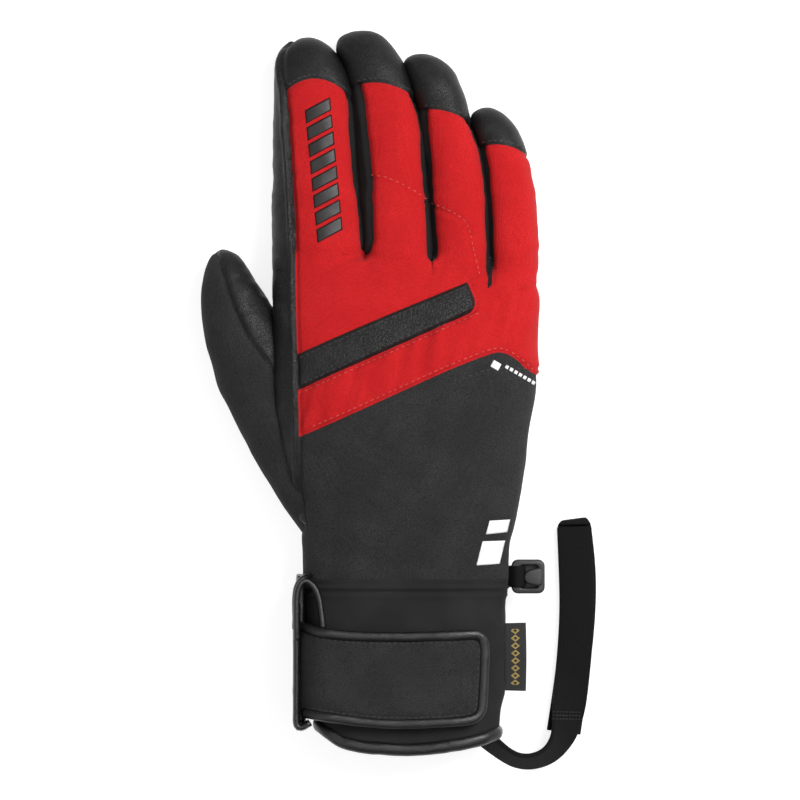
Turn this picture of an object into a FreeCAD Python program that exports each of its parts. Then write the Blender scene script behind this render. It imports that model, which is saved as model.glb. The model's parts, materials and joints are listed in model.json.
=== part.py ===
"""Insulated ski glove for the right hand, lying palm down.

+X points to the little-finger side, +Y to the fingertips and +Z out of the back of the hand.
The origin is on the flat underside of the palm grip patch. Millimetres and degrees.
"""
import FreeCAD, Part
import Sketcher
import math
import os
import re

os.makedirs("parts", exist_ok=True)
doc = FreeCAD.newDocument("ski_glove")
sheet = doc.addObject("Spreadsheet::Sheet", "Sizes")

SIZES = {
    # sewn shell and what lies in it
    "sole": 1.5,               # thickness of the palm grip patch, which lifts the rest
    "skin": 1.6,               # outer fabric and leather
    "ease": 0.3,               # clearance between one layer and the next
    "batting": 1.8,            # insulation on the back of the hand
    "lining": 1.8,             # fleece lining
    # fingers
    "index_width": 33, "index_base_run": 41, "index_tip_run": 46,
    "middle_width": 27.5, "middle_base_run": 42, "middle_tip_run": 46,
    "ring_width": 23, "ring_base_run": 37, "ring_tip_run": 41,
    "little_width": 20, "little_base_run": 31, "little_tip_run": 36,
    "little_drop": 11,         # how far the little finger starts below the others
    "finger_gap": 0.7,
    "finger_lean": 5,          # all fingers lean towards the thumb
    "finger_height": 25, "joint_height": 24, "tip_height": 20,
    "joint_narrowing": 1.5, "tip_narrowing": 5,
    "finger_corner": 8,
    "back_depth": 7,           # how far a back panel comes down the sides of its finger
    "palm_depth": 5.5,         # how far a palm panel comes up the sides of its finger
    "cap_length": 19,          # leather fingertip on the back of a finger
    "axis_height": 8,          # flexing axes above the underside of the fingers
    "axis_clear": 0.4,
    "flex_base": 65, "flex_tip": 58,
    # hand
    "knuckle_x": 7.6, "knuckle_y": 57, "knuckle_height": 31,
    "heel_y": -20, "heel_left": -37.4, "heel_right": 61.8, "heel_height": 37,
    "wrist_y": -71, "wrist_left": -25.5, "wrist_right": 53, "wrist_height": 34,
    "hand_corner": 12,
    "side_strip": 9, "side_wall": 5, "palm_side": 13,
    "band_slope": 23.4, "band_x": -30.2, "band_y": 2.3, "band_width": 12.5,
    "band_end": 44, "stripe_width": 18.5,
    "patch_length": 74, "patch_width": 62, "patch_x": 8, "patch_y": 2, "patch_corner": 14,
    # thumb
    "thumb_x": -37, "thumb_y": -30, "thumb_lean": 13.2,
    "thumb_width": 27, "thumb_base_run": 45, "thumb_tip_run": 43,
    "thumb_height": 24, "thumb_flex": 50, "thumb_spread": 25,
    "thumb_clear": 0.6, "thumb_tip_clear": 2.8, "gusset_run": 26,
    "gusset_foot": 9, "gusset_fall": 4, "gusset_corner": 2.5,
    "thumb_hole_start": -22, "thumb_hole_end": 2,
    # cuff
    "cuff_left": -27.5, "cuff_right": 53.5, "cuff_end_left": -22.5, "cuff_end_right": 50.5,
    "cuff_length": 69, "cuff_height": 34, "cuff_wall": 3,
    "hem_wall": 1.5, "hem_length": 6, "hem_lap": 3,
    "label_width": 8.5, "label_length": 27, "label_rise": 34.8, "label_height": 18,
    "label_wall": 1.2,
    # closure strap
    "strap_x": -27, "strap_length": 74, "strap_width": 43, "strap_rise": 28.8, "strap_wall": 2.4,
    "binding_width": 4, "binding_wall": 3.4, "strap_corner": 7,
    "hook_length": 30, "hook_width": 30, "hook_wall": 1.2,
    "loop_length": 46, "loop_wall": 1.2, "strap_gap": 2.5,
    "fold_length": 66, "fold_wall": 2, "fold_rise": 40.3, "fold_low": 8,
    # clip
    "clip_y": -73.5, "clip_length": 13.6, "clip_width": 12, "clip_wall": 4,
    "clip_rail": 1.8, "clip_pin": 1.4, "clip_height": 19, "pin_clear": 0.05,
    "bar_width": 1.6, "slot_width": 4.6, "gate_wall": 1.8, "gate_clear": 0.4,
    "webbing_reach": 4.4, "webbing_width": 9, "webbing_wall": 2.4,
    # leash
    "leash_width": 14, "leash_wall": 2.1, "leash_gap": 0.3,
}
for row, (alias, value) in enumerate(SIZES.items(), start=1):
    sheet.set(f"A{row}", alias)
    sheet.set(f"B{row}", str(value))
    sheet.setAlias(f"B{row}", alias)
doc.recompute()

PARTS = []      # the named pieces, in the order they are made


def formula(text):
    """Write the sheet's name before each of its aliases in an expression."""
    return re.sub(r"[a-z]\w*", lambda m: "Sizes." + m[0] if m[0] in SIZES else m[0], str(text))


def size(alias):
    """Today's value of one cell of the sheet."""
    return float(sheet.get(alias))


def make(kind, name, **sizes):
    """Add an object whose properties follow the sheet."""
    thing = doc.addObject(kind, name)
    for prop, text in sizes.items():
        thing.setExpression(prop, formula(text))
    return thing


def place(thing, frame, x=0, y=0, z=0, axis="0; 0; 1", turn=0):
    """Put an object at x, y, z in a frame, turned about an axis."""
    spot = f"placement(vector({x}; {y}; {z}); rotation(vector({axis}); {turn}))"
    front = f"{frame.Name}.Placement * " if frame else ""
    thing.setExpression("Placement", front + formula(spot))
    return thing


def frame_at(name, parent, x, y, z=0, turn=0):
    """A bare reference frame."""
    return place(doc.addObject("Part::Vertex", name), parent, x, y, z, turn=turn)


def slab(name, frame, x, y, z):
    """A box between two corners given as (low, high) along each axis of a frame."""
    box = make("Part::Box", name, Length=f"({x[1]}) - ({x[0]})", Width=f"({y[1]}) - ({y[0]})",
               Height=f"({z[1]}) - ({z[0]})")
    return place(box, frame, x[0], y[0], z[0])


def wedge(name, frame, y, x_start, x_end, z_start, z_end):
    """A block that tapers along Y, with its (low, high) faces at either end."""
    block = make("Part::Wedge", name, Ymin=y[0], Ymax=y[1],
                 Xmin=x_start[0], Xmax=x_start[1], X2min=x_end[0], X2max=x_end[1],
                 Zmin=z_start[0], Zmax=z_start[1], Z2min=z_end[0], Z2max=z_end[1])
    return place(block, frame)


def rounded(name, block, radius, round_end=False):
    """Round a block's long edges, and those round its far end where it is closed."""
    doc.recompute()
    shape = block.Shape.copy()
    shape.Placement = FreeCAD.Placement()
    far = shape.BoundBox.YMax
    picked = []
    for number, edge in enumerate(shape.Edges, start=1):
        ends = [v.Y for v in edge.Vertexes]
        along = abs(ends[0] - ends[1]) > 1
        if along or (round_end and min(ends) > far - 0.01):
            picked.append((number, radius, radius))
    thing = doc.addObject("Part::Fillet", name)
    thing.Base = block
    thing.Edges = picked
    return thing


def cut(name, base, *tools):
    """A base less its tools."""
    for number, tool in enumerate(tools):
        last = number == len(tools) - 1
        thing = doc.addObject("Part::Cut", name if last else f"{name}_{number}")
        thing.Base, thing.Tool = base, tool
        base = thing
    return base


def common(name, *shapes):
    """What several shapes share."""
    thing = doc.addObject("Part::MultiCommon", name)
    thing.Shapes = list(shapes)
    return thing


def fuse(name, *shapes):
    """Several shapes as one."""
    thing = doc.addObject("Part::MultiFuse", name)
    thing.Shapes = list(shapes)
    return thing


def part(thing, label):
    """Name an object as one of the glove's pieces."""
    thing.Label = label
    PARTS.append(thing)
    return thing


# ---------------------------------------------------------------- fingers and thumb

UNDER, OVER = "-20", "80"       # below and above everything, for tools that cut right through
WIDE = "60"                     # wider than any finger


def digit_block(name, frame, inset, run, widths, heights, closed):
    """One layer of a finger segment as a solid block, inset from the outside."""
    start, stop = ("axis_clear", f"{run} - axis_clear")
    if inset != "0":
        start, stop = "axis_clear - 1", f"{run} + 1"
    if closed:
        stop = f"{run} - ({inset})"
    half = [f"({w}) / 2 - ({inset})" for w in widths]
    block = wedge(name + "_block", frame, (start, stop), (f"-({half[0]})", half[0]),
                  (f"-({half[1]})", half[1]),
                  (f"sole + ({inset})", f"sole + {heights[0]} - ({inset})"),
                  (f"sole + ({inset})", f"sole + {heights[1]} - ({inset})"))
    doc.recompute()
    end_half = block.X2max.Value
    end_rise = (block.Z2max.Value - block.Z2min.Value) / 2
    radius = min(block.Zmax.Value - block.Zmin.Value, size("finger_corner") * 2) / 2
    return rounded(name, block, min(radius, 0.85 * end_half, 0.85 * end_rise), closed)


def flex_relief(name, frame, bend):
    """A vee under a flexing axis, so that the two sides of a joint can fold together."""
    spread = f"axis_clear + (axis_height + 3) * tan({bend} / 2 + 1.5)"
    tip = "axis_clear"
    tool = make("Part::Wedge", name, Ymin="-3", Ymax="axis_height", Xmin=f"-{WIDE}", Xmax=WIDE,
                X2min=f"-{WIDE}", X2max=WIDE, Zmin=f"-({spread})", Zmax=spread,
                Z2min=f"-({tip})", Z2max=tip)
    return place(tool, frame, z="sole", axis="1; 0; 0", turn=90)


def segment(name, frame, run, widths, heights, closed, tools):
    """The hollow skin of a segment and the fleece sleeve inside it."""
    layers = ["0", "skin", "skin + ease", "skin + ease + lining"]
    blocks = [digit_block(f"{name}_layer_{n}", frame, inset, run, widths, heights, closed)
              for n, inset in enumerate(layers)]
    skin = cut(name + "_skin", blocks[0], blocks[1], *tools)
    trim = slab(name + "_span", frame, (f"-{WIDE}", WIDE), ("axis_clear", f"{run} - axis_clear"),
                (UNDER, OVER))
    sleeve = cut(name + "_sleeve_body", blocks[2], blocks[3], *tools)
    part(common(name + "_sleeve", sleeve, trim), name + "_lining")
    return skin


def finger(name, frame):
    """A finger: sewn back, palm and side panels, a leather fingertip and two linings."""
    width = name + "_width"
    base_run, tip_run = name + "_base_run", name + "_tip_run"
    joint = frame_at(name + "_joint", frame, 0, base_run)
    base_relief = flex_relief(name + "_base_relief", frame, "flex_base")
    tip_relief = flex_relief(name + "_tip_relief", joint, "flex_tip")
    widths = (width, f"{width} - joint_narrowing", f"{width} - tip_narrowing")
    base = segment(name + "_base", frame, base_run, widths[:2], ("finger_height", "joint_height"),
                   False, [base_relief, tip_relief])
    tip = segment(name + "_tip", joint, tip_run, widths[1:], ("joint_height", "tip_height"),
                  True, [tip_relief])
    across, along = (f"-{WIDE}", WIDE), ("-5", base_run + " + 5")
    low, high = "sole + palm_depth", "sole + joint_height - back_depth"
    levels = {"back": (high, OVER), "sides": (low, high), "palm": (UNDER, low)}
    for panel, level in levels.items():
        zone = slab(f"{name}_{panel}_zone", frame, across, along, level)
        part(common(f"{name}_{panel}", base, zone), f"{name}_base_{panel}")
    zone = slab(name + "_tip_zone", joint, across, ("-5", tip_run + " - cap_length"), (high, OVER))
    part(common(name + "_tip_back", tip, zone), name + "_tip_back")
    part(cut(name + "_cap", tip, zone), name + "_fingertip_cap")
    return base_relief


knuckles = frame_at("knuckles", None, "knuckle_x", "knuckle_y", turn="finger_lean")
index_x = "-(middle_width / 2 + finger_gap + index_width / 2)"
ring_x = "middle_width / 2 + finger_gap + ring_width / 2"
little_x = "middle_width / 2 + 2 * finger_gap + ring_width + little_width / 2"
FINGERS = {"index": (index_x, "0"), "middle": ("0", "0"), "ring": (ring_x, "0"),
           "little": (little_x, "-little_drop")}
reliefs = {name: finger(name, frame_at(name + "_frame", knuckles, x, y))
           for name, (x, y) in FINGERS.items()}


# ---------------------------------------------------------------- hand

def rounded_outline(left, right, low, high, y, radius):
    """A wire round a rectangle in the plane at y, with rounded or square corners."""
    inner = [(right - radius, low + radius, 270), (right - radius, high - radius, 0),
             (left + radius, high - radius, 90), (left + radius, low + radius, 180)]
    if not radius:
        spots = [FreeCAD.Vector(x, y, z) for x, z, start in inner]
        return Part.makePolygon(spots + spots[:1])
    arcs = []
    for x, z, start in inner:
        spots = [FreeCAD.Vector(x + radius * math.cos(math.radians(angle)), y,
                                z + radius * math.sin(math.radians(angle)))
                 for angle in (start, start + 45, start + 90)]
        arcs.append(Part.Arc(*spots).toShape())
    edges = []
    for arc, after in zip(arcs, arcs[1:] + arcs[:1]):
        join = Part.LineSegment(arc.Vertexes[-1].Point, after.Vertexes[0].Point)
        edges += [arc, join.toShape()]
    return Part.Wire(edges)


def hand_block(name, inset, square=False):
    """The hand from the wrist to past the knuckles as a solid, inset from the outside."""
    fingers_left = size("middle_width") / 2 + size("finger_gap") + size("index_width")
    fingers_right = (size("middle_width") / 2 + 2 * size("finger_gap") + size("ring_width")
                     + size("little_width"))
    stations = [(size("wrist_y") - (0 if inset == 0 else 1), size("wrist_left"),
                 size("wrist_right"), size("wrist_height")),
                (size("heel_y"), size("heel_left"), size("heel_right"), size("heel_height")),
                (size("knuckle_y") + 8, size("knuckle_x") - fingers_left,
                 size("knuckle_x") + fingers_right, size("knuckle_height"))]
    low = size("sole") + inset
    radius = 0 if square else size("hand_corner") - inset
    outlines = [rounded_outline(left + inset, right - inset, low,
                                size("sole") + height - inset, y, radius)
                for y, left, right, height in stations]
    block = doc.addObject("Part::Feature", name)
    block.Shape = Part.makeLoft(outlines, True, True)
    return block


skin, ease = size("skin"), size("ease")
batting, lining = size("batting"), size("lining")
layers = [hand_block(f"hand_layer_{n}", inset) for n, inset in enumerate(
    [0, skin, skin + ease, skin + ease + batting, skin + 2 * ease + batting,
     skin + 2 * ease + batting + lining])]
split_x = "middle_width / 2 + ring_width + 1.5 * finger_gap"
finger_room = slab("finger_room", knuckles, ("-90", split_x), ("-axis_clear", "60"), (UNDER, OVER))
little_room = slab("little_room", knuckles, (split_x, "90"), ("-little_drop - axis_clear", "60"),
                   (UNDER, OVER))
knuckle_tools = []
for name, relief in reliefs.items():
    lane = slab(name + "_lane", doc.getObject(name + "_frame"),
                (f"-({name}_width + 1.2 * finger_gap) / 2", f"({name}_width + 1.2 * finger_gap) / 2"),
                ("-40", "40"), (UNDER, OVER))
    knuckle_tools.append(common(name + "_knuckle_relief", relief, lane))
thumb_hole = slab("thumb_hole", None, ("-60", "heel_left + 12"),
                  ("thumb_hole_start", "thumb_hole_end"),
                  ("sole + 7", "sole + 20"))
open_ends = [finger_room, little_room] + knuckle_tools
hand_skin = cut("hand_skin", layers[0], layers[1], thumb_hole, *open_ends)
batting_shell = cut("batting_shell", layers[2], layers[3], thumb_hole, *open_ends)
lining_shell = cut("lining_shell", layers[4], layers[5], thumb_hole, *open_ends)
hand_span = slab("hand_span", None, ("-90", "90"), ("wrist_y + ease", "90"), (UNDER, OVER))
part(common("hand_lining_body", lining_shell, hand_span), "hand_lining")
back_zone = slab("batting_zone", None, ("heel_left + side_strip", "heel_right - side_wall"),
                 ("wrist_y + ease", "90"), ("sole + palm_side", OVER))
part(common("insulation_body", batting_shell, back_zone), "back_insulation")

strip_zone = slab("strip_zone", None, ("-90", "heel_left + side_strip"), ("-90", "90"),
                  (UNDER, OVER))
wall_zone = slab("wall_zone", None, ("heel_right - side_wall + 2", "90"), ("-90", "90"),
                 (UNDER, OVER))
palm_zone = slab("palm_zone", None, ("-90", "90"), ("-90", "90"), (UNDER, "sole + palm_side"))
part(common("side_strip_body", hand_skin, strip_zone), "index_side_strip")
part(cut("side_wall_body", common("side_wall_raw", hand_skin, wall_zone), strip_zone),
     "little_side_wall")
middle_skin = cut("middle_skin", hand_skin, strip_zone, wall_zone)
part(common("palm_body", middle_skin, palm_zone), "palm_panel")
back_skin = cut("back_skin", middle_skin, palm_zone)

# The band and the stripe cross the back of the hand on a slant, one below the other.
slant = frame_at("slant", None, "band_x", "band_y", turn="band_slope")
band_zone = slab("band_zone", slant, ("-40", "(band_end - band_x) / cos(band_slope)"),
                 ("0", "band_width"), (UNDER, OVER))
above_zone = slab("above_zone", slant, ("-60", "160"), ("0", "140"), (UNDER, OVER))
stripe_zone = slab("stripe_zone", slant, ("-60", "160"), ("-stripe_width", "0"), (UNDER, OVER))
part(common("band_body", back_skin, band_zone), "knuckle_band")
part(cut("back_body", common("back_raw", back_skin, above_zone), band_zone), "back_panel")
part(common("stripe_body", back_skin, stripe_zone), "back_stripe")
part(cut("lower_back_body", back_skin, above_zone, stripe_zone), "lower_back_panel")

patch = slab("patch_block", None,
             ("patch_x - patch_width / 2", "patch_x + patch_width / 2"),
             ("patch_y - patch_length / 2", "patch_y + patch_length / 2"), ("0", "sole"))
doc.recompute()
patch_round = doc.addObject("Part::Fillet", "patch_round")
patch_round.Base = patch
patch_round.Edges = [(n, size("patch_corner"), size("patch_corner"))
                     for n, edge in enumerate(patch.Shape.Edges, start=1)
                     if abs(edge.Vertexes[0].Z - edge.Vertexes[1].Z) > 1]
part(patch_round, "palm_grip_patch")


# ---------------------------------------------------------------- thumb

thumb = frame_at("thumb_frame", None, "thumb_x", "thumb_y", turn="thumb_lean")
thumb_joint = frame_at("thumb_joint", thumb, 0, "thumb_base_run")
thumb_relief = flex_relief("thumb_relief", thumb_joint, "thumb_flex")
beside_hand = hand_block("beside_hand", -size("thumb_clear"), square=True)
clear_of_hand = hand_block("clear_of_hand", -size("thumb_tip_clear"), square=True)
thumb_widths = ("thumb_width", "thumb_width - joint_narrowing", "thumb_width - tip_narrowing")
thumb_base = segment("thumb_base", thumb, "thumb_base_run", thumb_widths[:2],
                     ("thumb_height", "thumb_height"), False, [thumb_relief, beside_hand])
thumb_tip = segment("thumb_tip", thumb_joint, "thumb_tip_run", thumb_widths[1:],
                    ("thumb_height", "tip_height"), True, [thumb_relief, clear_of_hand])
for name, skin, frame in (("base", thumb_base, thumb), ("tip", thumb_tip, thumb_joint)):
    outer = slab(f"thumb_{name}_outer_zone", frame, (f"-{WIDE}", "0"), ("-5", "70"), (UNDER, OVER))
    part(common(f"thumb_{name}_outside", skin, outer), f"thumb_{name}_outer")
    part(cut(f"thumb_{name}_inside", skin, outer), f"thumb_{name}_inner")

# The gusset fills the corner between the wrist and the thumb, clear of the thumb's swing.
swing = frame_at("swing", thumb, 0, 0, turn="thumb_spread + 1")
gusset_block = wedge("gusset_block", swing, ("-gusset_run", "-axis_clear"),
                     ("-gusset_foot", "0"), ("-thumb_width / 2", "0"),
                     ("sole", "sole + thumb_height - gusset_fall"), ("sole", "sole + thumb_height"))
gusset = cut("gusset_body", rounded("gusset_round", gusset_block, size("gusset_corner")), layers[0])
part(gusset, "thumb_gusset")


# ---------------------------------------------------------------- cuff

def cuff_block(name, inset, over=0):
    """The cuff as a solid, inset from the outside and run on past both its ends."""
    low, high = f"sole + ({inset})", f"sole + cuff_height - ({inset})"
    block = wedge(name + "_block", None, (f"wrist_y - ease - cuff_length - {over}",
                                          f"wrist_y - ease + {over}"),
                  (f"cuff_end_left + ({inset})", f"cuff_end_right - ({inset})"),
                  (f"cuff_left + ({inset})", f"cuff_right - ({inset})"), (low, high), (low, high))
    doc.recompute()
    inward = block.Zmin.Value - size("sole")
    return rounded(name, block, size("hand_corner") - inward)


cuff_end = "wrist_y - ease - cuff_length"
cuff_outer = cuff_block("cuff_outer", "0")
part(cut("cuff_body", cuff_outer, cuff_block("cuff_inner", "cuff_wall", over=2)), "cuff_band")
hem_zone = slab("hem_zone", None, ("-90", "90"), (f"{cuff_end} - hem_length + hem_lap",
                                                  f"{cuff_end} + hem_lap"), (UNDER, OVER))
hem_outer = common("hem_outer", cuff_block("hem_round", "-hem_wall", over=8), hem_zone)
part(cut("hem_body", hem_outer, cuff_block("hem_mouth", "0", over=9)), "cuff_hem")

label_block = slab("label_block", None, ("cuff_right - 1.2", "cuff_right - 1.2 + label_width"),
                   (f"{cuff_end} + label_rise - label_length / 2",
                    f"{cuff_end} + label_rise + label_length / 2"),
                   ("label_height - label_wall / 2", "label_height + label_wall / 2"))
part(cut("label_body", label_block, cuff_outer), "side_label")


# ---------------------------------------------------------------- closure strap

def plate(name, label, frame, length, width, thickness, corner, window=None):
    """A flat plate with rounded far corners as a padded sketch, from X = 0, centred on Y."""
    body = doc.addObject("PartDesign::Body", name)
    sketch = body.newObject("Sketcher::SketchObject", name + "_outline")
    plane = [f for f in body.Origin.OriginFeatures if f.Role == "XY_Plane"][0]
    sketch.AttachmentSupport = (plane, [""])
    sketch.MapMode = "FlatFace"
    draw_rectangle(sketch, "0", length, f"({width}) / 2")
    if window:
        draw_rectangle(sketch, window, f"({length}) - ({window})", f"({width}) / 2 - ({window})")
    pad = body.newObject("PartDesign::Pad", name + "_pad")
    pad.Profile = sketch
    pad.setExpression("Length", formula(thickness))
    doc.recompute()
    far = [f"Edge{n}" for n, edge in enumerate(pad.Shape.Edges, start=1)
           if abs(edge.Vertexes[0].Z - edge.Vertexes[-1].Z) > 0.1
           and edge.Vertexes[0].X > pad.Shape.BoundBox.XMax - 0.01]
    if corner:
        fillet = body.newObject("PartDesign::Fillet", name + "_fillet")
        fillet.Base = (pad, far)
        fillet.setExpression("Radius", formula(corner))
        body.Tip = fillet
    return part(body, label) if label else body


def draw_rectangle(sketch, left, right, half):
    """A rectangle from left to right, as far either side of the X axis."""
    first = sketch.GeometryCount
    corners = [(1, -1), (2, -1), (2, 1), (1, 1)]
    for number, (x, y) in enumerate(corners):
        x2, y2 = corners[(number + 1) % 4]
        sketch.addGeometry(Part.LineSegment(FreeCAD.Vector(x, y, 0), FreeCAD.Vector(x2, y2, 0)))
    for number in range(4):
        kind = "Horizontal" if number % 2 == 0 else "Vertical"
        sketch.addConstraint(Sketcher.Constraint(kind, first + number))
        sketch.addConstraint(Sketcher.Constraint("Coincident", first + number, 2,
                                                 first + (number + 1) % 4, 1))
    for line, kind, text in ((first, "DistanceY", f"-({half})"), (first + 2, "DistanceY", half),
                             (first + 3, "DistanceX", left), (first + 1, "DistanceX", right)):
        number = sketch.addConstraint(Sketcher.Constraint(kind, line, 1, 1.0))
        sketch.setExpression(f"Constraints[{number}]", formula(text))


cuff_top = "sole + cuff_height"
strap_floor = f"{cuff_top} + loop_wall + ease + hook_wall"
strap = frame_at("strap_frame", None, "strap_x", f"{cuff_end} + strap_rise")
panel = plate("strap_panel_plate", None, strap, "strap_length - binding_width - ease",
              "strap_width - 2 * binding_width - 2 * ease", "strap_wall", "strap_corner / 2")
place(panel, strap, 0, 0, strap_floor + " + 0.4")
part(panel, "strap_panel")
binding = plate("strap_binding_plate", None, strap, "strap_length", "strap_width",
                "binding_wall", "strap_corner", window=None)
place(binding, strap, 0, 0, strap_floor)
inside = slab("binding_window", strap, ("-2", "strap_length - binding_width"),
              ("-strap_width / 2 + binding_width", "strap_width / 2 - binding_width"),
              (UNDER, OVER))
part(cut("binding_body", binding, inside), "strap_binding")
hooks = plate("hook_plate", None, strap, "hook_length", "hook_width", "hook_wall", "3")
place(hooks, strap, "strap_length - binding_width - ease - hook_length - 1", 0,
      f"{cuff_top} + loop_wall + ease + 0.4")
part(hooks, "hook_patch")
loops = plate("loop_plate", None, strap, "loop_length", "hook_width", "loop_wall", "3")
place(loops, strap, "strap_length - loop_length - 14", 0, cuff_top)
part(loops, "loop_patch")

fold = slab("fold_block", None, ("strap_x - strap_gap - fold_wall", "strap_x - strap_gap"),
            (f"{cuff_end} + fold_rise - fold_length / 2", f"{cuff_end} + fold_rise + fold_length / 2"),
            ("sole + fold_low", f"{cuff_top} + fold_wall"))
part(cut("fold_body", fold, cuff_outer, layers[0], gusset), "strap_fold")


# ---------------------------------------------------------------- clip

clip = frame_at("clip_frame", None, "cuff_right + webbing_reach", "clip_y", "clip_height")
outside = slab("clip_outside", clip, ("-clip_pin", "clip_length - clip_pin"),
               ("-clip_width / 2", "clip_width / 2"), ("-clip_wall / 2", "clip_wall / 2"))
rail_gap = ("-clip_width / 2 + clip_rail", "clip_width / 2 - clip_rail")
slot = slab("clip_slot", clip, ("-5", "slot_width - clip_pin"), rail_gap, ("-9", "9"))
window = slab("clip_window", clip, ("slot_width - clip_pin + bar_width",
                                    "clip_length - clip_pin - clip_rail"), rail_gap, ("-9", "9"))
pin = make("Part::Cylinder", "clip_pin_rod", Radius="clip_pin", Height="clip_width - clip_rail")
place(pin, clip, 0, "clip_width / 2 - clip_rail / 2", 0, axis="1; 0; 0", turn=90)
part(fuse("clip_body", cut("clip_plate", outside, slot, window), pin), "clip_frame_body")
gate = slab("gate_block", clip,
            ("slot_width - clip_pin + bar_width + gate_clear",
             "clip_length - clip_pin - clip_rail - 2 * gate_clear"),
            ("-clip_width / 2 + clip_rail + gate_clear",
             "clip_width / 2 - clip_rail - gate_clear"), ("-gate_wall / 2", "gate_wall / 2"))
part(gate, "clip_gate")

tab = slab("webbing_tab", clip, ("-webbing_reach - 1.2", "0"),
           ("-webbing_width / 2 + 0.8", "webbing_width / 2 - 0.8"),
           ("-webbing_wall / 2", "webbing_wall / 2"))
eye = make("Part::Cylinder", "webbing_eye", Radius="clip_pin + webbing_wall / 2",
           Height="webbing_width - 1.6")
bore = make("Part::Cylinder", "webbing_bore", Radius="clip_pin + pin_clear",
            Height="webbing_width + 4")
place(eye, clip, 0, "webbing_width / 2 - 0.8", 0, axis="1; 0; 0", turn=90)
place(bore, clip, 0, "webbing_width / 2 + 2", 0, axis="1; 0; 0", turn=90)
part(cut("webbing_body", fuse("webbing_raw", tab, eye), bore, cuff_outer, layers[0]),
     "clip_webbing")


# ---------------------------------------------------------------- leash

# Corners of each route: X, and Y measured from the end of the cuff.
LEASH = [(45.0, 1.8), (52.5, -5.3), (61.5, -8.7), (70.9, -6.0), (76.8, 1.7), (78.9, 12.3),
         (80.2, 24.3), (81.6, 38.3), (82.3, 53.3), (82.0, 68.3), (81.2, 86.3)]
RETURN = [(81.2, 86.3), (82.8, 74.3), (83.4, 60.3), (82.6, 45.3), (80.9, 30.3), (79.0, 16.3),
          (77.0, 3.3)]


def flat_strap(name, route, low):
    """Flat webbing laid along straight runs joined by tangent arcs."""
    cuff_stop = size("wrist_y") - size("ease") - size("cuff_length")
    points = [FreeCAD.Vector(x, cuff_stop + y, 0) for x, y in route]
    edges, here, radii = [], points[0], []
    for before, corner, after in zip(points, points[1:], points[2:]):
        back, ahead = (before - corner), (after - corner)
        reach = 0.49 * min(back.Length, ahead.Length)
        turn = math.pi - back.getAngle(ahead)
        start = corner + back.normalize() * reach
        stop = corner + ahead.normalize() * reach
        inward = (back + ahead).normalize()
        radius = reach / math.tan(turn / 2)
        middle = corner + inward * (math.hypot(radius, reach) - radius)
        edges += [Part.LineSegment(here, start).toShape(), Part.Arc(start, middle, stop).toShape()]
        here = stop
        radii.append(radius)
    edges.append(Part.LineSegment(here, points[-1]).toShape())
    length = sum(edge.Length for edge in edges)
    half = size("leash_width") / 2
    faces = []
    for edge in edges:
        sides = []
        for sign in (-1, 1):
            spots = [edge.valueAt(edge.FirstParameter + share * edge_span(edge))
                     + edge_side(edge, share) * sign * half for share in (0, 0.5, 1)]
            straight = isinstance(edge.Curve, Part.Line)
            sides.append(Part.LineSegment(spots[0], spots[2]).toShape() if straight
                         else Part.Arc(*spots).toShape())
        ends = [Part.LineSegment(*(side.valueAt(side.ParameterRange[end]) for side in sides)).toShape()
                for end in (0, 1)]
        faces.append(Part.Face(Part.Wire(Part.__sortEdges__([sides[0], ends[1], sides[1], ends[0]]))))
    whole = faces[0].fuse(faces[1:]).removeSplitter()
    solid = whole.Faces[0].extrude(FreeCAD.Vector(0, 0, size("leash_wall")))
    solid.translate(FreeCAD.Vector(0, 0, low))
    section = size("leash_width") * size("leash_wall")
    print(f"{name}: length {length:.1f}, radii", [round(r, 1) for r in radii],
          f"volume {solid.Volume:.0f} against {section * length:.0f}")
    return solid


def edge_span(edge):
    """The width of an edge's parameter range."""
    return edge.LastParameter - edge.FirstParameter


def edge_side(edge, share):
    """A unit vector to the left of an edge, at a share of its way."""
    ahead = edge.tangentAt(edge.FirstParameter + share * edge_span(edge))
    return FreeCAD.Vector(-ahead.y, ahead.x, 0)


return_low = size("ease")
front_low = return_low + size("leash_wall") + size("leash_gap")
mouth = size("wrist_y") - size("ease") - size("cuff_length") - size("hem_length") + size("hem_lap")
cuff_side = Part.makeBox(60, 100, 90, FreeCAD.Vector(size("cuff_end_right") - 55,
                                                     mouth - size("ease"), -10))
for name, route, low in (("leash_strap", LEASH, front_low), ("leash_return", RETURN, return_low)):
    leash = doc.addObject("Part::Feature", name + "_webbing")
    solid = flat_strap(name, route, low)
    leash.Shape = solid.cut(cuff_side) if name == "leash_strap" else solid
    part(leash, name)


# ---------------------------------------------------------------- output

doc.recompute()
for thing in doc.Objects:
    if {"Invalid", "Error"} & set(thing.State):
        raise RuntimeError(f"{thing.Name} is {thing.State}")
for thing in PARTS:
    shape = thing.Shape
    if shape.isNull() or not shape.isValid() or not shape.Solids:
        raise RuntimeError(f"{thing.Label} has no valid solid")
for thing in PARTS:
    thing.Shape.exportStep(f"parts/{thing.Label}.step")
print(len(PARTS), "pieces")
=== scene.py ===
"""Insulated ski glove: the sewn, moulded and woven pieces that are seen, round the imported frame."""
import bmesh
import bpy
import json
import math
import numpy as np
from collections import namedtuple
from mathutils import Matrix, Vector
from mathutils.bvhtree import BVHTree
from mathutils.kdtree import KDTree


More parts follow.
